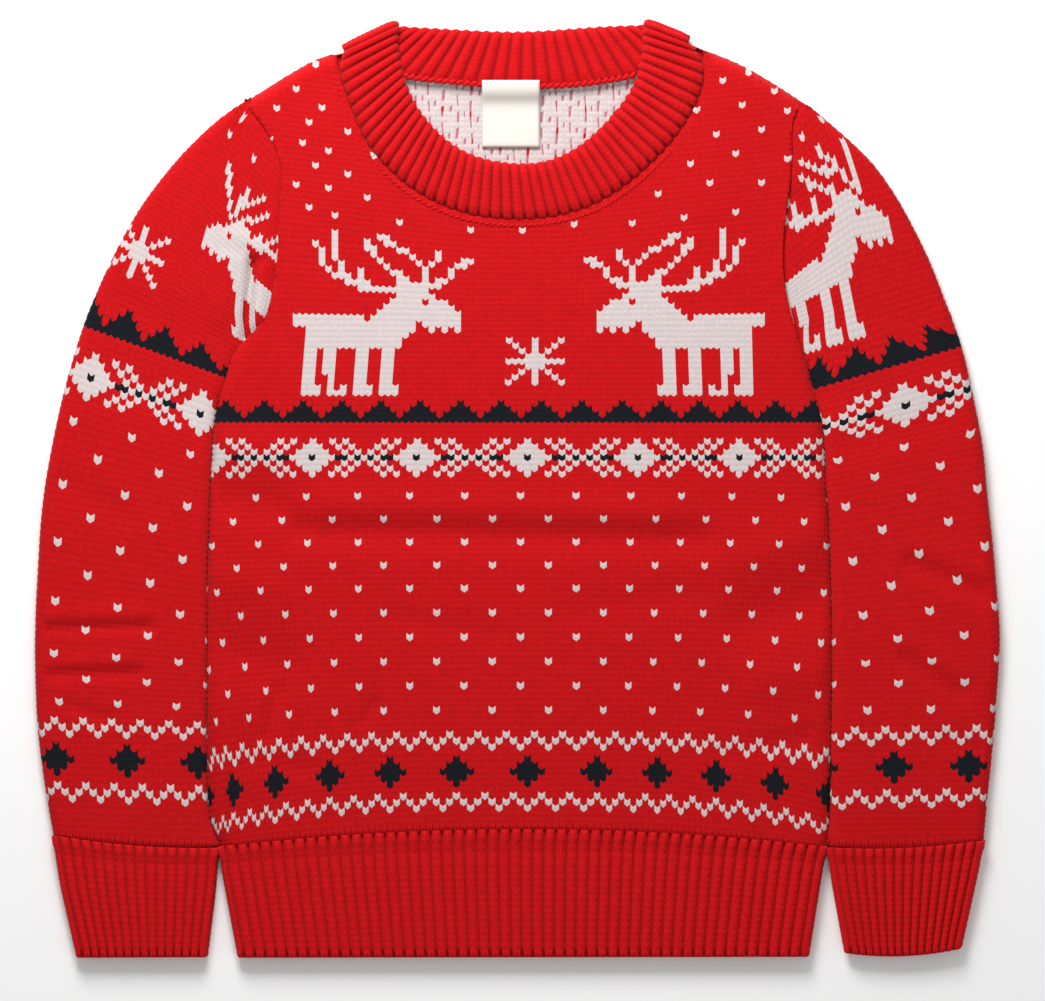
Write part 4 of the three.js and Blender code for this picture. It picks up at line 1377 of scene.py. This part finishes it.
    def read_loops(self, loops: np.ndarray, section: np.ndarray, place: np.ndarray) -> np.ndarray:
        """Points between the sections' loops, by straight lines between the nearest four.

        Args:
            loops: The sections' points.
            section: Places along the sleeve, counted in sections.
            place: Places round it, counted in the loops' points.

        Returns:
            The points.
        """
        low = np.clip(section.astype(int), 0, self.SECTIONS - 2)
        near = np.clip(place.astype(int), 0, self.LOOP_POINTS - 2)
        up = (section - low)[..., None]
        on = (place - near)[..., None]
        first = loops[low, near] * (1 - on) + loops[low, near + 1] * on
        second = loops[low + 1, near] * (1 - on) + loops[low + 1, near + 1] * on
        points = first * (1 - up) + second * up
        points[..., 2] = np.maximum(points[..., 2], self.LOWEST_UNDERSIDE)
        return points


# Ribbing

# Ribs keep this far above the floor, and stitches below the top of the underside lie flat.
LOWEST_RIB = 0.02
UNDERSIDE_TOP = 1.0
UNDERSIDE_RELIEF = 0.05


def rib_lines(ribs: int, slant: float) -> dict[str, np.ndarray]:
    """Column lines of ribbing: two legs and a sunken purl hollow a rib.

    Args:
        ribs: How many ribs there are.
        slant: How far the outer ends of a stitch's legs stand over its middle, in courses.

    Returns:
        For each line its place in ribs, its lean and its height, and the leg to its right.
    """
    starts = np.arange(ribs)[:, None]
    place = (starts + np.array([[0.0, 0.37, 0.74, 0.87]])).ravel()
    return {
        "place": place,
        "slant": np.tile([slant, 0.0, slant, slant], ribs),
        "crown": np.tile([0.35, 1.0, 0.35, -0.4], ribs),
        "legs": np.tile([Leg.LEFT, Leg.RIGHT, Leg.HOLLOW, Leg.HOLLOW], ribs),
    }


def rib_rows(courses: int, lines: dict[str, np.ndarray]) -> np.ndarray:
    """The course of every corner of ribbing, its first and last edges straight."""
    course = np.arange(courses + 1)[:, None] + lines["slant"][None]
    course[0] = 0
    return np.clip(course, 0, courses)


def ring_normals(points: np.ndarray) -> np.ndarray:
    """Outward normals of a ringed grid, its columns running round and its rows up."""
    around = np.roll(points, -1, axis=1) - np.roll(points, 1, axis=1)
    up = np.gradient(points, axis=0)
    return unit(np.cross(around, up))


def knit_ribs(
    name: str,
    base: np.ndarray,
    lift: np.ndarray,
    lines: dict[str, np.ndarray],
    relief: float,
    finishes: tuple[YarnFinish, ...],
) -> bpy.types.Object:
    """Knits ribbing round a ringed grid, its ribs raised and its hollows sunk.

    Args:
        name: The piece's name.
        base: The grid's points, a row for each course line.
        lift: How far each point stands out from the grid.
        lines: The column lines, as rib_lines gives them.
        relief: How far each stitch stands out.
        finishes: The rib yarn, then the hollows' darker red, which is painted shade.

    Returns:
        The piece.
    """
    corners = base + lift[..., None] * ring_normals(base)
    corners[..., 2] = np.maximum(corners[..., 2], LOWEST_RIB)
    cells = corners[:-1, :, 2]
    ridge = np.where(cells < UNDERSIDE_TOP, UNDERSIDE_RELIEF, relief)
    # Hollow columns take the second material, the painted shade of the troughs.
    yarn = np.tile((lines["legs"] == Leg.HOLLOW).astype(int), (len(cells), 1))
    kept = np.ones(cells.shape, bool)
    knit = Lattice(corners, lines["legs"], lines["slant"], kept, ridge, yarn, ringed=True)
    return knit.add_to(MeshParts()).build(name, finishes)


@dataclass
class RibbedBand:
    """A ribbed tube laid flat: waistband or cuff."""

    name: str
    # The fold at each side from the bottom up: left x and y, right x and y, bow.
    rows: list[tuple[float, ...]]
    ribs: int
    courses: int = 18
    fold_ribs: int = 2
    height: float = 6.2
    fold_radius: float = 3.2
    crown: float = 0.95
    relief: float = 0.65
    slant: float = 0.7

    # Under the seam the first stitches stand up as a row of beads: courses from it, swell.
    BEADS = [(-4, 1), (-3, 0.6), (-2, 1.3), (-1, 1.9), (0, 0.9)]

    def point(self, rib: np.ndarray, up: np.ndarray) -> np.ndarray:
        """Points of the tube.

        Args:
            rib: Places round it, counted in ribs from the left end of the top layer.
            up: Shares of the way up.

        Returns:
            The points in millimetres.
        """
        table = np.array(self.rows, float)
        heights = (table[:, 1] - table[0, 1]) / (table[-1, 1] - table[0, 1])
        left_x, left_y, right_x, right_y, bow = (np.interp(up, heights, table[:, i]) for i in range(5))
        width = np.hypot(right_x - left_x, right_y - left_y)
        span = width - 2 * self.fold_radius
        half = self.height / 2
        first, second = self.ribs, self.ribs + self.fold_ribs
        third = 2 * self.ribs + self.fold_ribs
        on_top = rib < first
        on_right = (rib >= first) & (rib < second)
        on_bottom = (rib >= second) & (rib < third)
        angle_right = math.pi / 2 - math.pi * (rib - first) / self.fold_ribs
        angle_left = -math.pi / 2 - math.pi * (rib - third) / self.fold_ribs
        inset = np.select(
            [on_top, on_right, on_bottom],
            [
                self.fold_radius + span * rib / self.ribs,
                width - self.fold_radius * (1 - np.cos(angle_right)),
                width - self.fold_radius - span * (rib - second) / self.ribs,
            ],
            self.fold_radius * (1 + np.cos(angle_left)),
        )
        z = np.select(
            [on_top, on_right, on_bottom],
            [self.height, half + half * np.sin(angle_right), 0.0],
            half + half * np.sin(angle_left),
        )
        along = inset / width
        x = left_x + (right_x - left_x) * along
        y = left_y + (right_y - left_y) * along + bow * (1 - (2 * along - 1) ** 2)
        return np.stack([x, y, z], axis=-1)

    def build(self) -> bpy.types.Object:
        """Knits the band."""
        total = 2 * (self.ribs + self.fold_ribs)
        lines = rib_lines(total, self.slant)
        up = rib_rows(self.courses, lines) / self.courses
        rib = np.broadcast_to(lines["place"], up.shape)
        beads = read_rows(self.BEADS, np.arange(self.courses + 1) - self.courses)
        lift = self.crown * lines["crown"][None, :] * beads[:, None]
        return knit_ribs(self.name, self.point(rib, up), lift, lines, self.relief, BAND_RIB_AND_PAINTED_SHADE)


@dataclass
class Neckband:
    """The double ribbed ring round the neck, folded to the inside at its free edge."""

    front_ribs: int = 48
    back_ribs: int = 24
    corner_ribs: int = 3
    courses: int = 24
    wall: float = 4.6
    height_middle: float = 8.4
    height_corner: float = 9.8
    fold_radius: float = 3
    fold_wall: float = 2.2
    crown: float = 1.05
    relief: float = 0.45
    slant: float = 0.7

    # The folds at the corners: sewn place, free place, the way in.
    CORNER_LEFT = ((-84.2, 211.9), (-57.8, 224.4), (0.43, -0.9))
    CORNER_RIGHT = ((82.8, 216.3), (61.4, 224.8), (-0.37, -0.93))
    # Round the section, from the sewn edge over the free edge and back inside: share of the way,
    # reach to the free edge, drop below the face.
    SECTION = [
        (0, 0, 1.2), (0.06, 0.12, 0), (0.42, 0.86, 0), (0.47, 0.97, 0.8), (0.5, 1, 1.4),
        (0.53, 0.97, 0.6), (0.58, 0.86, 0), (0.94, 0.12, 0), (1, 0, 0.5),
    ]
    # Share of the way, and how far the inner face has taken over there.
    TURN = [(0, 0), (0.47, 0), (0.53, 1), (1, 1)]
    # Share of the way, and the ribs' height there.
    FLATTEN = [(0, 0.4), (0.1, 1), (0.38, 1), (0.5, 0.35), (0.62, 1), (0.9, 1), (1, 0.4)]

    def stations(self, rib: np.ndarray) -> dict[str, np.ndarray]:
        """Plan points and heights round the band.

        Args:
            rib: Places round it, counted in ribs from the left end of the front.

        Returns:
            The sewn and free edges, the way in, the heights of both faces and which way is up.
        """
        count = len(rib)
        data = {key: np.zeros((count, 2)) for key in ("sewn", "free", "shift")}
        data.update({key: np.zeros(count) for key in ("outer", "inner", "up")})
        curves = [PlanCurve(rows) for rows in
                  (NECK_SEWN_FRONT, NECK_FREE_FRONT, NECK_SEWN_BACK, NECK_FREE_BACK)]
        first = self.front_ribs
        second = first + self.corner_ribs
        third = second + self.back_ribs
        front = rib < first
        share = rib[front] / first
        data["sewn"][front], data["free"][front] = curves[0].at(share), curves[1].at(share)
        top = self.height_middle + (self.height_corner - self.height_middle) * (2 * share - 1) ** 2
        data["outer"][front], data["inner"][front], data["up"][front] = top, top - self.wall, 1
        back = (rib >= second) & (rib < third)
        share = 1 - (rib[back] - second) / self.back_ribs
        data["sewn"][back], data["free"][back] = curves[2].at(share), curves[3].at(share)
        data["outer"][back], data["inner"][back], data["up"][back] = 0, self.wall, -1
        right = (rib >= first) & (rib < second)
        turn = math.pi / 2 - math.pi * (rib[right] - first) / self.corner_ribs
        self.corner(data, right, turn, self.CORNER_RIGHT)
        left = rib >= third
        turn = -math.pi / 2 + math.pi * (rib[left] - third) / self.corner_ribs
        self.corner(data, left, turn, self.CORNER_LEFT)
        return data

    def corner(
        self,
        data: dict[str, np.ndarray],
        chosen: np.ndarray,
        angle: np.ndarray,
        fold: tuple[tuple[float, float], ...],
    ) -> None:
        """Fills the stations of one corner fold.

        Args:
            data: The stations, changed in place.
            chosen: The stations on this fold.
            angle: Their turn, from the front's quarter to the back's.
            fold: The fold's sewn place, free place and way in.
        """
        sewn, free, inward = (np.array(row) for row in fold)
        inset = (self.fold_radius * (1 - np.cos(angle)))[:, None] * inward
        half = self.height_corner / 2
        data["sewn"][chosen], data["free"][chosen] = sewn + inset, free + inset
        data["outer"][chosen] = half + half * np.sin(angle)
        data["inner"][chosen] = half + (half - self.wall) * np.sin(angle)
        data["shift"][chosen] = self.fold_wall * np.cos(angle)[:, None] * inward
        data["up"][chosen] = np.sin(angle)

    def build(self) -> bpy.types.Object:
        """Knits the band."""
        total = self.front_ribs + self.back_ribs + 2 * self.corner_ribs
        lines = rib_lines(total, self.slant)
        data = self.stations(lines["place"])
        across = rib_rows(self.courses, lines) / self.courses
        reach, drop = read_rows(self.SECTION, across), read_rows(self.SECTION, across, 2)
        inner_share = read_rows(self.TURN, across)
        plan = data["sewn"][None] * (1 - reach[..., None]) + data["free"][None] * reach[..., None]
        plan = plan + data["shift"][None] * inner_share[..., None]
        outer_z = data["outer"][None] - drop * np.maximum(data["up"][None], 0)
        inner_z = data["inner"][None] + drop * data["up"][None]
        z = outer_z * (1 - inner_share) + inner_z * inner_share
        base = np.concatenate([plan, z[..., None]], axis=-1)
        # The ribs flatten where the band turns over at its free edge and at its seam.
        flatten = read_rows(self.FLATTEN, across)
        lift = self.crown * lines["crown"][None, :] * flatten
        return knit_ribs("neckband_rib", base, lift, lines, self.relief, NECK_RIB_AND_PAINTED_SHADE)


@dataclass
class SeamChain:
    """A row of linked yarn loops along a seam, each a small rounded lump."""

    name: str
    line: np.ndarray
    width: float
    rise: float
    pitch: float
    yarn: YarnFinish = RIB_YARN

    RING_POINTS = 8
    RINGS = 5
    # How far a loop leans to the side, and its half length as a share of the pitch.
    TILT = 0.35
    LENGTH_SHARE = 0.62

    def build(self) -> bpy.types.Object:
        """Lays the loops end to end along the line."""
        along = run_lengths(self.line)
        count = max(int(along[-1] / self.pitch), 2)
        turn = np.linspace(0, 2 * math.pi, self.RING_POINTS, endpoint=False)
        level = np.linspace(-0.5, 0.5, self.RINGS) * math.pi
        vertices, triangles, places = [], [], []
        for i in range(count):
            middle = (i + 0.5) / count * along[-1]
            spot = points_at(middle, along, self.line)
            forward = unit(points_at(middle + 1, along, self.line) - spot)
            sideways = np.array([-forward[1], forward[0], 0.0])
            upward = np.cross(forward, sideways)
            long = self.LENGTH_SHARE * self.pitch * (forward + self.TILT * sideways)
            ring = np.cos(turn)[:, None] * sideways * self.width / 2
            ring = ring + np.sin(turn)[:, None] * upward * self.rise
            shape = spot + np.sin(level)[:, None, None] * long + np.cos(level)[:, None, None] * ring
            base = i * self.RINGS * self.RING_POINTS
            vertices.append(shape.reshape(-1, 3))
            for row in range(self.RINGS - 1):
                for column in range(self.RING_POINTS):
                    here = base + row * self.RING_POINTS + column
                    side = base + row * self.RING_POINTS + (column + 1) % self.RING_POINTS
                    triangles += [(here, side, side + self.RING_POINTS)]
                    triangles += [(here, side + self.RING_POINTS, here + self.RING_POINTS)]
                    left, low = (i + column / self.RING_POINTS) / count, row / self.RINGS
                    right, high = left + 0.8 / self.RING_POINTS / count, low + 0.9 / self.RINGS
                    places += [((left, low), (right, low), (right, high))]
                    places += [((left, low), (right, high), (left, high))]
        faces = np.array(triangles)[:, [0, 2, 1]]
        spots = np.array(places)[:, [0, 2, 1]]
        parts = MeshParts()
        parts.add(np.concatenate(vertices), faces, np.zeros(len(faces), int), spots)
        return parts.build(self.name, (self.yarn,))


@dataclass
class NeckLabel:
    """The woven label inside the back, sewn on at its top edge and left blank."""

    width: float = 27.6
    length: float = 32
    thickness: float = 0.9
    top_x: float = -3.2
    top_y: float = 195.6
    base: float = 3.1
    over_seam: float = 3.9
    lift: float = 0.5
    seam_place: float = 0.26
    edge_drop: float = 0.35
    columns: int = 24
    rows: int = 28

    # How sharply the label comes down past the seam, and how narrow its softened edge is.
    SEAM_SHARPNESS = 22
    EDGE_SHARPNESS = 18

    def build(self) -> bpy.types.Object:
        """Weaves the label as a thin closed slab with softened edges and a slight curl."""
        u, v = np.meshgrid(np.linspace(-1, 1, self.columns), np.linspace(0, 1, self.rows))
        x = self.top_x + u * self.width / 2
        y = self.top_y - v * self.length
        wave = self.lift * (0.5 * v**2 + 0.25 * np.sin(math.pi * v) * u)
        wave = wave + self.over_seam / (1 + np.exp((v - self.seam_place) * self.SEAM_SHARPNESS))
        edge = np.minimum(1 - np.abs(u), 2 * np.minimum(v, 1 - v))
        round_off = self.edge_drop * np.exp(-edge * self.EDGE_SHARPNESS)
        top = np.stack([x, y, self.base + self.thickness + wave - round_off], axis=-1)
        bottom = np.stack([x, y, self.base + wave], axis=-1)
        count = self.columns * self.rows
        vertices = np.concatenate([top.reshape(-1, 3), bottom.reshape(-1, 3)]) * MM
        faces = []
        for j in range(self.rows - 1):
            for i in range(self.columns - 1):
                a = j * self.columns + i
                b, c, d = a + 1, a + 1 + self.columns, a + self.columns
                faces += [(a, d, c, b), (count + a, count + b, count + c, count + d)]
        for i in range(self.columns - 1):
            a, z = i, (self.rows - 1) * self.columns + i
            faces += [(a, a + 1, count + a + 1, count + a), (z + 1, z, count + z, count + z + 1)]
        for j in range(self.rows - 1):
            a, z = j * self.columns, (j + 1) * self.columns - 1
            faces += [(a + self.columns, a, count + a, count + a + self.columns)]
            faces += [(z, z + self.columns, count + z + self.columns, count + z)]
        mesh = bpy.data.meshes.new("label_ribbon")
        mesh.from_pydata(vertices.tolist(), [], faces)
        mesh.polygons.foreach_set("use_smooth", np.ones(len(faces), bool))
        mesh.materials.append(RibbonFinish().material())
        logger.info("label_ribbon: %d faces", len(faces))
        return link_object("label_ribbon", mesh)


@dataclass
class Studio:
    """White paper, an even sky and a broad soft light, with a long lens straight above."""

    floor_half: float = 2.5
    floor_gap: float = 0.0003
    sky_strength: float = 0.4
    # Each softbox: place in metres, size in metres, power in watts.
    key: tuple[tuple[float, float, float], float, float] = ((-0.2, 0.82, 0.64), 0.5, 13.2)
    fill: tuple[tuple[float, float, float], float, float] = ((0.5, -0.6, 1.8), 1.4, 4)
    lens_height: float = 3.2
    sensor_mm: float = 36
    picture_width: int = 1045
    picture_height: int = 1001

    def build(self) -> bpy.types.Object:
        """Lays the floor, hangs the lights and sets the camera.

        Returns:
            The floor.
        """
        mesh = bpy.data.meshes.new("paper_floor")
        half = self.floor_half
        corners = [(-half, -half, 0), (half, -half, 0), (half, half, 0), (-half, half, 0)]
        mesh.from_pydata(corners, [], [(0, 1, 2, 3)])
        mesh.materials.append(PaperFinish().material())
        floor = link_object("paper_floor", mesh)
        floor.location.z = -self.floor_gap
        world = bpy.data.worlds.new("studio_sky")
        world.use_nodes = True
        sky = world.node_tree.nodes["Background"]
        set_inputs(world.node_tree, sky, {"Color": (1, 1, 1, 1), "Strength": self.sky_strength})
        bpy.context.scene.world = world
        self.lamp("key_softbox", *self.key)
        self.lamp("fill_softbox", *self.fill)
        self.camera()
        bpy.context.scene.view_settings.view_transform = "Standard"
        return floor

    def lamp(self, name: str, place: tuple[float, float, float], size: float, power: float) -> None:
        """Hangs a square softbox aimed at the sweater.

        Args:
            name: The lamp's name.
            place: Where it hangs, in metres.
            size: Its side in metres.
            power: Its power in watts.
        """
        light = bpy.data.lights.new(name, "AREA")
        light.size = size
        light.energy = power
        lamp = link_object(name, light)
        lamp.location = place
        x, y, z = place
        lamp.rotation_euler = (math.atan2(math.hypot(x, y), z), 0, math.atan2(x, -y))

    def camera(self) -> None:
        """Aims a long lens straight down so that the frame is the photo's."""
        centre_x = float(photo_x(self.picture_width / 2)) * MM
        centre_y = float(photo_y(self.picture_height / 2)) * MM
        data = bpy.data.cameras.new("camera_above")
        seen = self.picture_width * PIXEL_MM * MM
        data.sensor_width = self.sensor_mm
        data.lens = self.sensor_mm * self.lens_height / seen
        data.clip_end = 20
        camera = link_object("camera_above", data)
        camera.location = (centre_x, centre_y, self.lens_height)
        bpy.context.scene.camera = camera


@dataclass(frozen=True)
class Cut:
    """The flat cut of a piece in metres, and what it lies on."""

    node: str
    slot: str
    width: float
    length: float
    area: float
    held: str = "laid"
    rests_on: tuple[str, ...] = ("paper_floor",)


def declare(piece: bpy.types.Object, cut: Cut, with_pieces: tuple[bpy.types.Object, ...] = ()) -> None:
    """Attaches a piece to the root body and hides the form's part that it stands for.

    Args:
        piece: The piece.
        cut: Its node, slot and flat cut; only the node is used.
        with_pieces: Trims that belong to the piece, such as its seam.
    """
    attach(piece, "root")
    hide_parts(cut.node)
    for extra in with_pieces:
        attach(extra, "root")
    list(cut.rests_on)


def sleeves() -> tuple[Sleeve, Sleeve]:
    """The two sleeves with their own lay."""
    left = Sleeve(
        "sleeve_left_panel", -1, SLEEVE_LEFT, BODY_LEFT, LEFT_CREASES,
        middle_wale=[
            (130, 842), (126, 800), (124, 740), (121, 678), (121, 640), (124, 570), (126, 526),
            (131, 484), (137, 432), (143, 393), (152, 348), (160, 320), (168, 293), (178, 262),
            (189, 226), (201, 190), (213, 155), (222, 126),
        ],
        course_rows=[
            (-8, 888), (-1, 842), (6.5, 793), (11.5, 760), (16.5, 728), (20.5, 703.6), (28.5, 657.7),
            (36.5, 608), (44.5, 551), (52.5, 496), (60.5, 438.5), (68, 392), (74.4, 348), (79, 317),
            (99.5, 205), (108, 160), (116, 112), (150, -68),
        ],
        pitch_rows=[(0, 7.0), (17, 7.1), (28, 7.8), (55, 7.9), (67, 7.2), (74, 7.0), (87, 6.1), (114, 5.8)],
        inner_rows=[(74, 1), (84, 0.86), (92, 0.76), (101, 0.74), (111, 0.74), (150, 0.74)],
        tilt_rows=[(73, 0), (80, 0.12), (88, 0.22), (114, 0.2)],
        inner_tilt_rows=[(73, 0), (80, 0.12), (88, 0.28), (98, 0.38), (150, 0.38)],
        spots=[(246, 112), (229, 127), (255, 156)],
    )
    right = Sleeve(
        "sleeve_right_panel", 1, SLEEVE_RIGHT, BODY_RIGHT, RIGHT_CREASES,
        middle_wale=[
            (927, 840), (927, 766), (926, 710), (927, 663), (925, 612), (914, 554), (907, 499),
            (899, 448), (901, 404), (893, 366), (876, 330), (868, 300), (862, 270), (853, 230),
            (845, 190), (832, 150), (818, 118),
        ],
        course_rows=[
            (-8, 888), (-1, 842), (6.5, 798), (11.5, 766), (16.5, 735), (20.5, 709), (24.5, 682), (28.5, 661),
            (32.5, 637), (36.5, 611), (40.5, 583), (44.5, 554), (48.5, 526), (52.5, 498), (56.5, 472),
            (60.5, 448), (68, 404), (74.4, 364), (78, 340), (98.5, 200), (107, 143), (116, 85), (150, -133),
        ],
        pitch_rows=[
            (0, 7.4), (17, 7.5), (24, 8.3), (60, 8.3), (64, 9.2), (73, 9.0), (78, 6.0), (84, 5.2),
            (114, 5.2),
        ],
        inner_rows=[(0, 1), (114, 1)],
        tilt_rows=[(73, 0), (80, 0.05), (114, 0.05)],
        inner_tilt_rows=[(73, 0), (82, 0.02), (88, 0.2), (94, 0.38), (150, 0.42)],
        spots=[(816, 114.5), (800, 137)],
    )
    return left, right


def bands() -> tuple[RibbedBand, RibbedBand, RibbedBand]:
    """Waistband and cuffs, their folds from the bottom up."""
    waistband = RibbedBand(
        "waistband_rib",
        [(-133.2, -224.8, 139, -224.4, 0), (-140.8, -184, 145.4, -184, 4),
         (-142.6, -171.4, 148.2, -171.4, 8.5)],
        52,
    )
    cuff_left = RibbedBand(
        "cuff_left_rib",
        [(-210.5, -224.8, -149.4, -224.6, 0), (-218.4, -190, -145.6, -194, -1),
         (-222.3, -166, -143.7, -172, -2)],
        14,
    )
    cuff_right = RibbedBand(
        "cuff_right_rib",
        [(157.6, -222.6, 212.2, -220.4, -2.6), (151.6, -190, 219.4, -188, -2),
         (148.9, -171.8, 223.4, -168.4, -2)],
        14,
    )
    return waistband, cuff_left, cuff_right


def front_seam_line(away: float, height: float) -> np.ndarray:
    """A line just outside the neckband's sewn edge, on the front."""
    start, end, count = 0.04, 0.96, 160
    points = PlanCurve(NECK_SEWN_FRONT).at(np.linspace(start, end, count))
    plan = points + away * unit(points - NECK_MIDDLE)
    return np.column_stack([plan, np.full(len(plan), height)])


def back_seam_line(height: float) -> np.ndarray:
    """The line of the back neck seam, on the inside."""
    start, end, count, below = 0.17, 0.83, 120, 0.9
    points = PlanCurve(NECK_SEWN_BACK).at(np.linspace(start, end, count))
    return np.column_stack([points[:, 0], points[:, 1] - below, np.full(len(points), height)])


def main() -> None:
    """Builds the pieces from the floor up and attaches each to the root body."""
    logging.basicConfig(level=logging.INFO)
    Studio().build()
    back = Back().build()
    chain = SeamChain("seam_back_neck", back_seam_line(height=5.4), width=2.9, rise=1.3, pitch=3.3)
    declare(back, Cut("back", "red_knit", 0.302, 0.384, 0.101), (chain.build(),))
    front = Front().build()
    line = front_seam_line(away=3.0, height=7.3)
    chain = SeamChain("seam_front_neck", line, width=1.5, rise=0.6, pitch=2.9)
    front_cut = Cut("front", "red_knit", 0.302, 0.38, 0.092, rests_on=("back_panel",))
    declare(front, front_cut, (chain.build(),))
    left, right = sleeves()
    declare(left.build(), Cut("sleeve_left", "red_knit", 0.164, 0.37, 0.051))
    declare(right.build(), Cut("sleeve_right", "red_knit", 0.162, 0.37, 0.048))
    waistband, cuff_left, cuff_right = bands()
    declare(waistband.build(), Cut("waistband", "red_rib", 0.59, 0.057, 0.0335))
    declare(cuff_left.build(), Cut("cuff_left", "red_rib", 0.155, 0.056, 0.0085))
    declare(cuff_right.build(), Cut("cuff_right", "red_rib", 0.15, 0.053, 0.0079))
    neck_cut = Cut("collar", "red_rib", 0.45, 0.054, 0.0225, held="folded", rests_on=("front_panel",))
    declare(Neckband().build(), neck_cut)
    label_cut = Cut("label", "label_cloth", 0.0276, 0.032, 0.00088, rests_on=("back_panel",))
    declare(NeckLabel().build(), label_cut)


if __name__ == "__main__":
    main()
